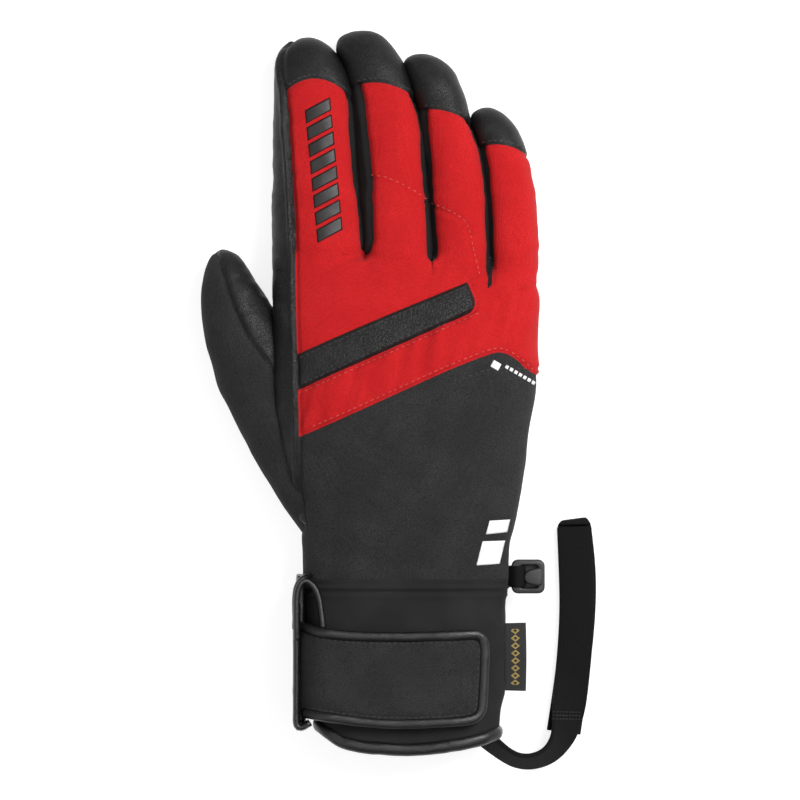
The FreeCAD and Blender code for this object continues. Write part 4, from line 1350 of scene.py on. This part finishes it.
def rounded_box(left, right, low, high, corner, count=6):
    """The outline of a rectangle with round corners."""
    spots = []
    for cx, cy, start in ((right - corner, high - corner, 0), (left + corner, high - corner, 90),
                          (left + corner, low + corner, 180), (right - corner, low + corner, 270)):
        for angle in np.radians(np.linspace(start, start + 90, count)):
            spots.append((cx + corner * math.cos(angle), cy + corner * math.sin(angle)))
    return spots


def tree_of(thing):
    """A search tree over a piece's faces."""
    mesh = thing.data
    return BVHTree.FromPolygons([v.co[:] for v in mesh.vertices], [tuple(p.vertices) for p in mesh.polygons])


def laid(tree, x, y):
    """Where a plumb line from above meets a surface, with its normal, in millimetres."""
    place, normal, _, _ = tree.ray_cast(Vector((x * MM, y * MM, 0.2)), Vector((0, 0, -1)))
    if place is None:
        return None, None
    return np.array(place) / MM, np.array(normal)


def film(name, quads, tree, material, thick=0.12, above=0.10, cell=0.8):
    """Flat patches pressed onto a surface from above: each is four corners in millimetres."""
    points, faces = [], []
    for quad in quads:
        a, b, c, d = (np.array(corner, float) for corner in quad)
        wide = max(2, int(math.ceil(max(np.linalg.norm(b - a), np.linalg.norm(c - d)) / cell)))
        high = max(2, int(math.ceil(max(np.linalg.norm(d - a), np.linalg.norm(c - b)) / cell)))
        start, ok, tops, lows = len(points), True, [], []
        for j in range(high + 1):
            for i in range(wide + 1):
                u, v = i / wide, j / high
                spot = (a * (1 - u) + b * u) * (1 - v) + (d * (1 - u) + c * u) * v
                place, normal = laid(tree, *spot)
                if place is None:
                    ok = False
                    break
                tops.append(place + normal * (above + thick / 2))
                lows.append(place + normal * (above - thick / 2 - 0.1))
            if not ok:
                break
        if not ok:
            continue
        points += tops + lows
        row, size = wide + 1, (wide + 1) * (high + 1)
        for j in range(high):
            for i in range(wide):
                q = [start + j * row + i, start + j * row + i + 1,
                     start + (j + 1) * row + i + 1, start + (j + 1) * row + i]
                faces.append(tuple(q))
                faces.append(tuple(n + size for n in reversed(q)))
        rim = ([j for j in range(wide)] + [wide + row * j for j in range(high)]
               + [size - 1 - j for j in range(wide)] + [size - row - row * j for j in range(high)])
        for n, m in zip(rim, rim[1:] + rim[:1]):
            faces.append((start + n, start + n + size, start + m + size, start + m))
    thing = finished(name, np.array(points) * MM, faces, [material])
    set_outward(thing)
    return thing


# ---------------------------------------------------------------- stitches

def stitch_tree():
    """A node tree that puts one stitch on every point, turned by the point's own turn."""
    tree = bpy.data.node_groups.new("stitches", "GeometryNodeTree")
    face = tree.interface
    face.new_socket("Geometry", in_out="INPUT", socket_type="NodeSocketGeometry")
    face.new_socket("Stitch size", in_out="INPUT", socket_type="NodeSocketVector")
    face.new_socket("Thread", in_out="INPUT", socket_type="NodeSocketMaterial")
    face.new_socket("Geometry", in_out="OUTPUT", socket_type="NodeSocketGeometry")
    start, stop = tree.nodes.new("NodeGroupInput"), tree.nodes.new("NodeGroupOutput")
    shape = tree.nodes.new("GeometryNodeMeshUVSphere")
    shape.inputs["Segments"].default_value, shape.inputs["Rings"].default_value = 8, 5
    shape.inputs["Radius"].default_value = 0.5
    smooth_shape = tree.nodes.new("GeometryNodeSetShadeSmooth")
    dots = tree.nodes.new("GeometryNodeMeshToPoints")
    place = tree.nodes.new("GeometryNodeInstanceOnPoints")
    turn = tree.nodes.new("GeometryNodeInputNamedAttribute")
    turn.data_type = "FLOAT_VECTOR"
    turn.inputs["Name"].default_value = "turn"
    real = tree.nodes.new("GeometryNodeRealizeInstances")
    paint = tree.nodes.new("GeometryNodeSetMaterial")
    for a, b in ((start.outputs[0], dots.inputs[0]), (shape.outputs[0], smooth_shape.inputs[0]),
                 (dots.outputs[0], place.inputs["Points"]),
                 (smooth_shape.outputs[0], place.inputs["Instance"]),
                 (turn.outputs[0], place.inputs["Rotation"]), (start.outputs[1], place.inputs["Scale"]),
                 (place.outputs[0], real.inputs[0]), (real.outputs[0], paint.inputs[0]),
                 (start.outputs[2], paint.inputs["Material"]), (paint.outputs[0], stop.inputs[0])):
        tree.links.new(a, b)
    return tree


STITCHES = stitch_tree()


def sewn_line(line, tree, pitch=2.5, sink=0.12):
    """Stitch places along a line pressed onto a surface: place, direction and normal, in millimetres."""
    line = evenly(np.array(line, float), pitch)
    spots = [laid(tree, x, y) for x, y in line]
    found = []
    for n in range(len(line)):
        if spots[n][0] is None:
            continue
        near = [spots[m][0] for m in (n - 1, n + 1) if 0 <= m < len(line) and spots[m][0] is not None]
        if len(near) == 2:
            ahead = near[1] - near[0]
        elif near:
            ahead = near[0] - spots[n][0]
        else:
            continue
        if abs(ahead[2]) > 2.2 * np.linalg.norm(ahead[:2]):
            continue
        found.append((spots[n][0] - spots[n][1] * sink, ahead, spots[n][1]))
    return found


def stitched(name, stitches, thread_material, size=(1.8, 0.52, 0.5)):
    """Rows of stitches as one piece."""
    vertices, turns = [], []
    for place, ahead, up in stitches:
        x = Vector(ahead).normalized()
        z = (Vector(up) - x * Vector(up).dot(x)).normalized()
        y = z.cross(x)
        vertices.append(tuple(np.array(place) * MM))
        turns.append(tuple(Matrix((x, y, z)).transposed().to_euler("XYZ")))
    mesh = bpy.data.meshes.new(name + "_places")
    mesh.from_pydata(vertices, [], [])
    layer = mesh.attributes.new("turn", "FLOAT_VECTOR", "POINT")
    layer.data.foreach_set("vector", np.array(turns, float).ravel())
    holder = bpy.data.objects.new(name + "_places", mesh)
    bpy.context.scene.collection.objects.link(holder)
    nodes = holder.modifiers.new("stitches", "NODES")
    nodes.node_group = STITCHES
    names = {item.name: item.identifier for item in STITCHES.interface.items_tree if item.in_out == "INPUT"}
    nodes[names["Stitch size"]] = tuple(s * MM for s in size)
    nodes[names["Thread"]] = thread_material
    holder.update_tag()
    graph = bpy.context.evaluated_depsgraph_get()
    made = bpy.data.meshes.new_from_object(holder.evaluated_get(graph))
    holder.modifiers.clear()
    bpy.data.objects.remove(holder)
    made.name = name
    thing = bpy.data.objects.new(name, made)
    bpy.context.scene.collection.objects.link(thing)
    return thing


def slanted(ahead, up):
    """The place on the hand of a point along and across the slanted seams."""
    ahead, up = np.asarray(ahead, float), np.asarray(up, float)
    x = BAND_LOW[0] + ahead * math.cos(SLANT) - up * math.sin(SLANT)
    y = BAND_LOW[1] + ahead * math.sin(SLANT) + up * math.cos(SLANT)
    return np.stack([x, y], axis=1)


run = np.linspace(1, 105, 120)
band_foot = run[run < 78]
hand_red = (sewn_line(slanted(band_foot, band_low(band_foot) - 1.5), skin_tree)
            + sewn_line(slanted(run[:116], stripe_low(run[:116]) + 1.7), skin_tree))
band_run = np.linspace(2, 77, 80)
hand_black = (sewn_line(slanted(band_run, band_top(band_run) - 1.7), skin_tree)
              + sewn_line(slanted(band_run, band_low(band_run) + 1.5), skin_tree))
seam_rows = np.array(LABEL_SEAM, float)
hand_black += sewn_line(slanted(seam_rows[:, 0], seam_rows[:, 1] - 1.2), skin_tree)
for name, rows, material in (("hand_red_stitches", hand_red, RED_THREAD),
                             ("hand_black_stitches", hand_black, BLACK_THREAD)):
    piece = stitched(name, rows, material)
    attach(piece, "hand")

ring_line = curve_through([(23.8, 75.6), (30, 72.8), (35.8, 69.4), (38.6, 65.2), (40.2, 57.5), (42.6, 47.6)])
middle_line = curve_through([(-0.2, 86.8), (6, 85.6), (14, 82.0), (21.4, 77.6)])
for finger, line in (("middle", middle_line), ("ring", ring_line)):
    piece = stitched(f"{finger}_red_stitches", sewn_line(line, skin_tree), RED_THREAD)
    digit_bend(piece, finger, "base")
for finger in FINGERS:
    x0, y0, slope, arch = CAPS[finger]
    left, right = along(SEAMS[finger], y0)
    xs = np.linspace(left + 0.5, right - 0.3, 24)
    line = np.stack([xs, y0 + slope * (xs - x0) - arch * (xs - x0) ** 2 + 1.6], axis=1)
    piece = stitched(f"{finger}_cap_stitches", sewn_line(line, skin_tree, 2.2), BLACK_THREAD)
    digit_bend(piece, finger, "tip")


# ---------------------------------------------------------------- printed marks

def slanted_blocks(low, high, count, gap):
    """A column of plain slanted blocks between two places, each with its width at right angles."""
    low, high = np.array(low, float), np.array(high, float)
    ahead = unit(high - low)
    side = np.array([ahead[1], -ahead[0]])
    pitch = np.linalg.norm(high - low) / count
    blocks = []
    for n in range(count):
        near, far = low + ahead * (n * pitch + gap / 2), low + ahead * ((n + 1) * pitch - gap / 2)
        lift = ahead * 2.2
        blocks.append((near - side * 5.2 - lift, near + side * 5.2 + lift,
                       far + side * 5.2 + lift, far - side * 5.2 - lift))
    return blocks


def print_ink(name, colour, rough):
    """Soft rubber ink pressed into the cloth."""
    f = Finish(name, rough, Specular_IOR_Level=0.35)
    speck = f.texture("ShaderNodeTexNoise", 2200, Detail=2.0)
    f.colour(f.mix(speck.between(0.3, 0.8), colour, tuple(c * 0.8 for c in colour)))
    f.relief(speck, 0.08 * MM, 0.5)
    return f.material


DARK_INK = print_ink("dark ink", (0.010, 0.006, 0.006), 0.42)
WHITE_INK = print_ink("white ink", (0.86, 0.86, 0.86), 0.6)
blocks = slanted_blocks((-16.8, 61.5), (-22.0, 116.0), 8, 1.5)
for part, chosen in (("base", blocks[:3]), ("tip", blocks[3:])):
    piece = film(f"index_{part}_print", chosen, skin_tree, DARK_INK)
    digit_bend(piece, "index", part)
white = [((45.2, -56.4), (53.6, -55.6), (54.8, -50.6), (46.6, -51.0)),
         ((41.4, -68.8), (50.6, -68.2), (52.8, -59.0), (43.8, -59.2))]
for n in range(7):
    foot = np.array((52.6, 9.8)) + n * np.array((1.78, -1.03))
    white.append((foot, foot + (1.15, -0.66), foot + (1.75, 0.52), foot + (0.6, 1.18)))
white.append(((46.9, 10.4), (49.9, 8.6), (51.3, 11.2), (48.3, 12.9)))
piece = film("hand_print", white, skin_tree, WHITE_INK)
seat(piece, "hand", "woven_label")

# ---------------------------------------------------------------- cuff

CUFF = [(-141, -22.3, 50.6), (-134, -23.2, 51.4), (-123, -24.6, 53.0), (-119, -25.0, 52.6),
        (-104, -26.0, 52.7), (-90, -26.9, 53.0), (-79, -27.5, 54.2), (-73, -27.6, 53.9)]
RIM = [(-26, -128.0), (-21, -130.6), (-17, -133.4), (-11, -137.0), (-1, -139.0), (15, -139.8), (31, -138.2),
       (43, -135.8), (51, -133.0), (55, -131.5)]
CUFF_TOP_Y = -74.4


def cuff_rings(inset, count=64, around=300):
    """Rings of the cuff's surface at a depth below its face, with its bowed rim."""
    rings = []
    for share in np.linspace(0, 1, count):
        nominal = CUFF_TOP_Y + share * (-139.8 - CUFF_TOP_Y)
        left, right = along(CUFF, nominal)
        ring = section((left + right) / 2, (right - left) / 2 - inset, 18.6, 17.0 - inset, 0, power=4.0,
                       count=around)
        ring[:, 1] = CUFF_TOP_Y + share * (along(RIM, ring[:, 0])[:, 0] - CUFF_TOP_Y)
        rings.append(ring)
    return np.array(rings)


outer, inner = cuff_rings(0), cuff_rings(3)
flat_points = outer.reshape(-1, 3) * MM
x, y, z = outer.reshape(-1, 3).T
ridge = -77.6
height = (0.45 * noise(flat_points, 13 * MM, 80) + 0.25 * noise(flat_points, 6 * MM, 81)
          + 1.2 * bump(y - ridge, 0.75) - 0.9 * bump(y - ridge + 1.7, 0.5) - 0.8 * bump(y - ridge - 1.6, 0.5)
          + 0.5 * bump(y - ridge + 3.2, 0.8)
          + 0.5 * noise(stretched(flat_points, 1, 0.2, 1), 5 * MM, 82) * bump(y + 82, 5))
spread = np.stack([x - 13, y * 0, z - 18.6], axis=1)
outward = unit(spread * np.array([0.45, 1, 1]))
outer = (outer.reshape(-1, 3) + outward * height[:, None]).reshape(outer.shape)
count, around = outer.shape[:2]
points_all = np.concatenate([outer.reshape(-1, 3), inner.reshape(-1, 3)]) * MM
faces, picks, size = [], [], count * around
for k in range(count - 1):
    for n in range(around):
        m = (n + 1) % around
        a, b, c, d = k * around + n, k * around + m, (k + 1) * around + m, (k + 1) * around + n
        faces += [(a, b, c, d), (d + size, c + size, b + size, a + size)]
        picks += [0, 1]
for k, order in ((0, 1), (count - 1, -1)):
    for n in range(around):
        m = (n + 1) % around
        a, b = k * around + n, k * around + m
        faces.append((b, a, a + size, b + size)[::order])
        picks.append(0)
cuff = finished("cuff_band_cloth", points_all, faces, [KNIT, FLEECE], picks)
set_outward(cuff)
seat(cuff, "hand", "cuff_knit", "cuff_band")
cuff_tree = tree_of(cuff)

rim_ring = cuff_rings(1.2, count=2, around=260)[1]
rim_ring[:, 1] -= 2.1
middle_of_rim = np.array([13.5, 0, 18.6])
radial = unit((rim_ring - middle_of_rim) * np.array([1, 0, 1]))
tangent = unit(np.roll(rim_ring, -1, axis=0) - np.roll(rim_ring, 1, axis=0))
away = unit(np.cross(tangent, np.array([0, 1.0, 0])))
away *= np.sign((away * radial).sum(1, keepdims=True))
hem = sweep("cuff_hem_binding", rim_ring, away, superellipse(2.7, 2.6, 2.3, 18), [BINDING], closed=True,
            wobble=0.16, seed=84)
seat(hem, "hand", "black_leather", "cuff_hem")

# ---------------------------------------------------------------- closure strap

STRAP_TOP = [(-30, -90.0), (-28.6, -90.2), (-19, -93.4), (-11, -94.4), (3, -95.0), (23, -94.8), (47, -94.2)]
STRAP_LOW = [(-30, -128.8), (-25.4, -129.4), (-21, -130.2), (-13, -131.4), (-1, -132.8), (11, -133.4),
             (31, -132.6), (47, -131.8)]
STRAP_EDGE = [(-28.6, -90.8), (-24, -92.2), (-19, -93.4), (-11, -94.4), (3, -95.0), (23, -94.8), (37, -94.3),
              (41.4, -94.4), (44.6, -96.0), (46.4, -100), (46.6, -106), (46.2, -114), (45.8, -122),
              (45.0, -126.8), (42.8, -130.0), (39, -131.7), (31, -132.6), (11, -133.4), (-1, -132.8),
              (-13, -131.4), (-21, -130.2), (-27.4, -129.2)]


def strap_level(x):
    """Height of the strap's middle layer, falling a little to each side of the wrist."""
    x = np.asarray(x, float)
    return 39.9 - 0.055 * np.clip(-17 - x, 0, None) ** 2 - 0.010 * np.clip(x - 28, 0, None) ** 2


edge = curve_through(STRAP_EDGE, 0.9)
ahead = unit(np.gradient(edge, axis=0))
inward = np.stack([ahead[:, 1], -ahead[:, 0]], axis=1)
middle_line = edge + inward * 1.9
path = np.concatenate([middle_line, strap_level(middle_line[:, :1]) + 0.1], axis=1)
binding = sweep("strap_binding_leather", path, np.array([[0, 0, 1.0]]), superellipse(1.95, 1.55, 2.4, 18),
                [BINDING], wobble=0.10, seed=85)

xs_left, rows, columns = -28.6, 60, 110
grid = []
for j in range(rows + 1):
    v = j / rows
    for i in range(columns + 1):
        u = i / columns
        side = abs(v - 0.5) * 2
        stop = 44.8 - 5.5 * max(0, side - 0.72) ** 2 / 0.0784
        xx = xs_left + u * (stop - xs_left)
        top_y, low_y = along(STRAP_TOP, xx)[0] - 1.8, along(STRAP_LOW, xx)[0] + 1.8
        yy = low_y + v * (top_y - low_y)
        near = min(yy - low_y, top_y - yy, stop - xx)
        grid.append((xx, yy, float(strap_level(xx)) + 0.9 * min(1, max(0, near) / 7) ** 0.6, near))
grid = np.array(grid)
flat_points = grid[:, :3] * MM
puff = (0.22 * noise(flat_points, 9 * MM, 86) + 0.10 * noise(flat_points, 4 * MM, 87)
        + 0.18 * noise(stretched(flat_points, 1, 0.3, 1), 3.4 * MM, 88) * np.exp(-grid[:, 3] / 3)
        - 0.35 * bump(grid[:, 3] - 2.6, 0.7))
top_face = np.column_stack([grid[:, :2], grid[:, 2] + puff])
low_face = np.column_stack([grid[:, :2], strap_level(grid[:, 0]) - 1.2])
points_all = np.concatenate([top_face, low_face]) * MM
faces, row, size = [], columns + 1, len(grid)
for j in range(rows):
    for i in range(columns):
        q = (j * row + i, j * row + i + 1, (j + 1) * row + i + 1, (j + 1) * row + i)
        faces += [q, tuple(n + size for n in reversed(q))]
rim = ([j for j in range(columns)] + [columns + row * j for j in range(rows)]
       + [size - 1 - j for j in range(columns)] + [size - row - row * j for j in range(rows)])
for n, m in zip(rim, rim[1:] + rim[:1]):
    faces.append((n, n + size, m + size, m))
panel = finished("strap_panel_cloth", points_all, faces, [BLACK])
set_outward(panel)
panel_tree = tree_of(panel)
inner_line = edge + inward * 4.4
strap_thread = stitched("strap_stitches", sewn_line(inner_line[4:-4], panel_tree, 2.4), BLACK_THREAD)
hook = moulded("hook_patch_tape", [rounded_box(11.7, 41.7, -126.5, -96.5, 3)], 37.0, 38.5, 0.3, HOOKS)
for piece, node, paint in ((binding, "strap_binding", "black_leather"),
                           (panel, "strap_panel", "black_softshell"),
                           (strap_thread, None, "black_leather"), (hook, "hook_patch", "hook_and_loop")):
    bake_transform(piece)
    if node:
        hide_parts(node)
loop = film("loop_patch_tape", [((-13, -126.5), (33, -126.5), (33, -96.5), (-13, -96.5))], cuff_tree, HOOKS,
            thick=1.1, above=0.45, cell=1.2)
seat(loop, "hand", "hook_and_loop", "loop_patch")

# The strap's turned end at the thumb side: a flat fold and two bound edges above it.
fold_line = curve_through([(-24.8, -131.2, 33), (-27.8, -133.0, 33), (-29.9, -132.2, 33), (-30.2, -126, 33),
                           (-30.1, -110, 33), (-30.1, -95, 33), (-30.0, -84, 33)], 1.0)
fold_top = sweep("strap_fold_edge", fold_line, np.array([[0, 0, 1.0]]), superellipse(1.5, 4.6, 2.6, 20),
                 [BINDING], wobble=0.14, seed=89)
wall_line = curve_through([(-28.7, -131.5, 19), (-28.9, -110, 19), (-28.8, -84, 19), (-28.2, -73, 19)], 2.0)
fold_wall = sweep("strap_fold_cloth", wall_line, np.array([[0, 0, 1.0]]), superellipse(2.2, 13.0, 4, 32),
                  [BINDING], wobble=0.12, seed=90)
arch_line = curve_through([(-29.9, -98, 37.5), (-30.1, -88, 37.8), (-29.9, -80.5, 37.6), (-28.6, -76.2, 37.2),
                           (-26.4, -74.9, 36.8), (-24.0, -76.2, 36.6), (-22.1, -79.0, 36.8),
                           (-20.9, -83.0, 37.2),
                           (-20.2, -88.0, 37.6), (-19.6, -93.5, 38)], 0.7)
arch = sweep("strap_loop_edge", arch_line, np.array([[0, 0, 1.0]]), superellipse(1.25, 1.5, 2.2, 16),
             [BINDING], wobble=0.10, seed=91)
outer_line = curve_through([(-25.6, -73.2, 30), (-27.4, -73.8, 33), (-29.2, -75.6, 34.4),
                            (-30.5, -79.6, 34.6),
                            (-30.7, -86.0, 34.8), (-30.6, -94, 35)], 0.8)
outer_edge = sweep("strap_fold_binding", outer_line, np.array([[0, 0, 1.0]]), superellipse(1.2, 2.2, 2.4, 16),
                   [BINDING], wobble=0.10, seed=92)
for piece, node in ((fold_top, "strap_fold"), (fold_wall, None), (arch, None), (outer_edge, None)):
    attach(piece, "hand")
    if node:
        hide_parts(node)

# ---------------------------------------------------------------- clip, webbing and label

frame_piece = moulded("clip_frame_moulding", [rounded_box(55.6, 68.9, -80.4, -66.8, 2.6),
                                              rounded_box(59.0, 66.4, -78.2, -69.1, 1.3)],
                       16.9, 21.1, 0.7, PLASTIC)
seat(frame_piece, "clip", "clip_plastic", "clip_frame_body")
back_plate = moulded("clip_back_moulding", [rounded_box(58.7, 66.7, -78.5, -68.8, 1.0)], 16.9, 17.4, 0.15,
                      PLASTIC)
seat(back_plate, "clip", "clip_plastic")
tongue = [(67.6, -76.9), (67.6, -70.5), (63.4, -70.7), (61.6, -71.6), (60.6, -73.2), (60.6, -74.4),
          (61.4, -75.9), (63.2, -76.8)]
gate_piece = moulded("clip_gate_moulding", [[tuple(p) for p in curve_through(tongue, 0.6, closed=True)[:-1]]],
                     19.1, 21.8, 0.8, PLASTIC)
seat(gate_piece, "gate", "clip_plastic", "clip_gate")
tape_line = curve_through([(50.5, -73.6, 17.6), (53.5, -73.6, 18.2), (56.0, -73.6, 20.6), (57.9, -73.6, 21.8),
                           (60.2, -73.6, 20.6), (60.4, -73.6, 17.9), (57.9, -73.6, 16.2),
                           (54.0, -73.6, 16.8)], 0.5)
tape_piece = sweep("clip_webbing_tape", tape_line, np.array([[0, 1.0, 0]]), superellipse(0.7, 4.3, 5, 20),
                   [WEBBING])
seat(tape_piece, "hand", "webbing", "clip_webbing")

label_line = np.array([(57.0 + 0.25 * math.sin(t * 3), -92.2 - 27.2 * t, 18.2 + 0.5 * math.sin(t * 4 + 0.6))
                       for t in np.linspace(0, 1, 50)])
label_piece = sweep("side_label_tape", label_line, np.array([[0, 0, 1.0]]), superellipse(4.4, 0.6, 9, 28),
                    [LABEL])
seat(label_piece, "hand", "woven_label", "side_label")

# ---------------------------------------------------------------- leash

LEASH = [(0.0450, -0.1385), (0.0525, -0.1456), (0.0615, -0.1490), (0.0709, -0.1463), (0.0768, -0.1386),
         (0.0789, -0.1280), (0.0802, -0.1160), (0.0816, -0.1020), (0.0823, -0.0870), (0.0820, -0.0720),
         (0.0812, -0.0540)]
RETURN = [(0.0812, -0.0540), (0.0828, -0.0660), (0.0834, -0.0800), (0.0826, -0.0950), (0.0809, -0.1100),
          (0.0790, -0.1240), (0.0770, -0.1370)]
LEASH_RISE = [12.0, 11.2, 10.4, 9.2, 7.4, 5.2, 4.1, 3.8, 3.8, 3.8, 3.7]
LEASH_TURN = [(0, -1.05), (12, -1.15), (24, -1.1), (34, -0.95), (44, -0.62), (56, -0.22), (75, 0.04),
              (124, 0.0)]


def route(name, points, heights):
    """Places along a smooth curve steered by the corners of a route, in metres."""
    curve = bpy.data.curves.new(name, "CURVE")
    curve.dimensions, curve.resolution_u = "3D", 8
    spline = curve.splines.new("NURBS")
    spline.points.add(len(points) - 1)
    for point, (x, y), z in zip(spline.points, points, heights):
        point.co = (x, y, z * MM, 1)
    spline.order_u = 3
    spline.use_endpoint_u = True
    holder = bpy.data.objects.new(name, curve)
    bpy.context.scene.collection.objects.link(holder)
    graph = bpy.context.evaluated_depsgraph_get()
    mesh = bpy.data.meshes.new_from_object(holder.evaluated_get(graph))
    line = np.array([v.co[:] for v in mesh.vertices])
    bpy.data.objects.remove(holder)
    return line


def fold_width(y):
    """How broad the leash is near its far fold, where its corners are rounded."""
    t = np.clip((y + 55.4) / 3.6, 0, 1)
    return 1 - 0.32 * (1 - np.sqrt(1 - 0.98 * t * t))


leash_line = evenly(route("leash_route", LEASH, LEASH_RISE), 0.9 * MM) / MM
far = np.concatenate([[0], np.cumsum(np.linalg.norm(np.diff(leash_line, axis=0), axis=1))])
leash = sweep("leash_strap_webbing", leash_line, np.array([[0, 0, 1.0]]), superellipse(7.0, 1.0, 7, 32),
              [WEBBING], turn=along(LEASH_TURN, far)[:, 0], widths=fold_width(leash_line[:, 1]))
return_line = evenly(route("return_route", RETURN, [1.3] * len(RETURN)), 0.9 * MM) / MM
hairpin = np.array([(81.2 + 0.1 * math.sin(a), -54.0 + 0.6 + 1.6 * math.cos(a), 2.5 + 1.25 * math.sin(a))
                    for a in np.linspace(math.pi / 2, -math.pi / 2, 12)])
return_path = evenly(np.concatenate([hairpin, return_line[2:]]), 0.8)
ups = np.zeros_like(return_path)
ahead = unit(np.gradient(return_path, axis=0))
up = np.array([0, 0, 1.0])
for n in range(len(return_path)):
    up = unit(up - ahead[n] * (up @ ahead[n]))
    ups[n] = up
leash_back = sweep("leash_return_webbing", return_path, ups, superellipse(7.0, 1.0, 7, 32), [WEBBING],
                   widths=fold_width(return_path[:, 1]))
leash_tree = tree_of(leash)
bar_rows = []
for offset in (0, 1.4, 2.8):
    bar_rows += sewn_line([(71.6, -131.0 + offset), (83.2, -131.6 + offset)], leash_tree, 1.3)
bar = stitched("leash_bar_stitches", bar_rows, BLACK_THREAD, (1.2, 0.4, 0.4))
for piece, node in ((leash, "leash_strap"), (leash_back, "leash_return"), (bar, None)):
    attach(piece, "hand")
    if node:
        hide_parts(node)


# ---------------------------------------------------------------- floor, light and camera

floor_finish = Finish("pale floor", 0.9, Emission_Color=(1, 1, 1, 1), Emission_Strength=0.8)
floor_finish.colour((0.42, 0.42, 0.42))
floor = mesh_object("floor", [(-3, -3, 0), (3, -3, 0), (3, 3, 0), (-3, 3, 0)], [(0, 1, 2, 3)],
                    [floor_finish.material])


def lamp(name, place, aim, size, watts):
    """A soft square light."""
    data = bpy.data.lights.new(name, "AREA")
    data.size, data.energy = size, watts
    thing = bpy.data.objects.new(name, data)
    thing.location = place
    thing.rotation_euler = (Vector(aim) - Vector(place)).to_track_quat("-Z", "Y").to_euler()
    bpy.context.scene.collection.objects.link(thing)


lamp("key_light", (0.46, 0.30, 0.72), (0.02, 0, 0), 0.42, 8.4)
lamp("fill_light", (-0.75, -0.35, 0.8), (0, 0, 0), 0.9, 2.2)
lamp("top_light", (0.1, 0.0, 1.5), (0, 0, 0), 1.2, 6)
world = bpy.data.worlds.new("world")
world.use_nodes = True
world.node_tree.nodes["Background"].inputs[0].default_value = (1, 1, 1, 1)
world.node_tree.nodes["Background"].inputs[1].default_value = 0.2
bpy.context.scene.world = world
bpy.context.scene.view_settings.view_transform = "Standard"

CENTRE, SPAN, HEIGHT = (11.0 * MM, -3.0 * MM), 320 * MM, 2.2
lens = bpy.data.cameras.new("camera")
lens.sensor_width = 36
lens.lens = 36 * (HEIGHT - 0.02) / SPAN
lens.clip_end = 20
camera = bpy.data.objects.new("camera", lens)
camera.location = (CENTRE[0], CENTRE[1], HEIGHT)
bpy.context.scene.collection.objects.link(camera)
bpy.context.scene.camera = camera
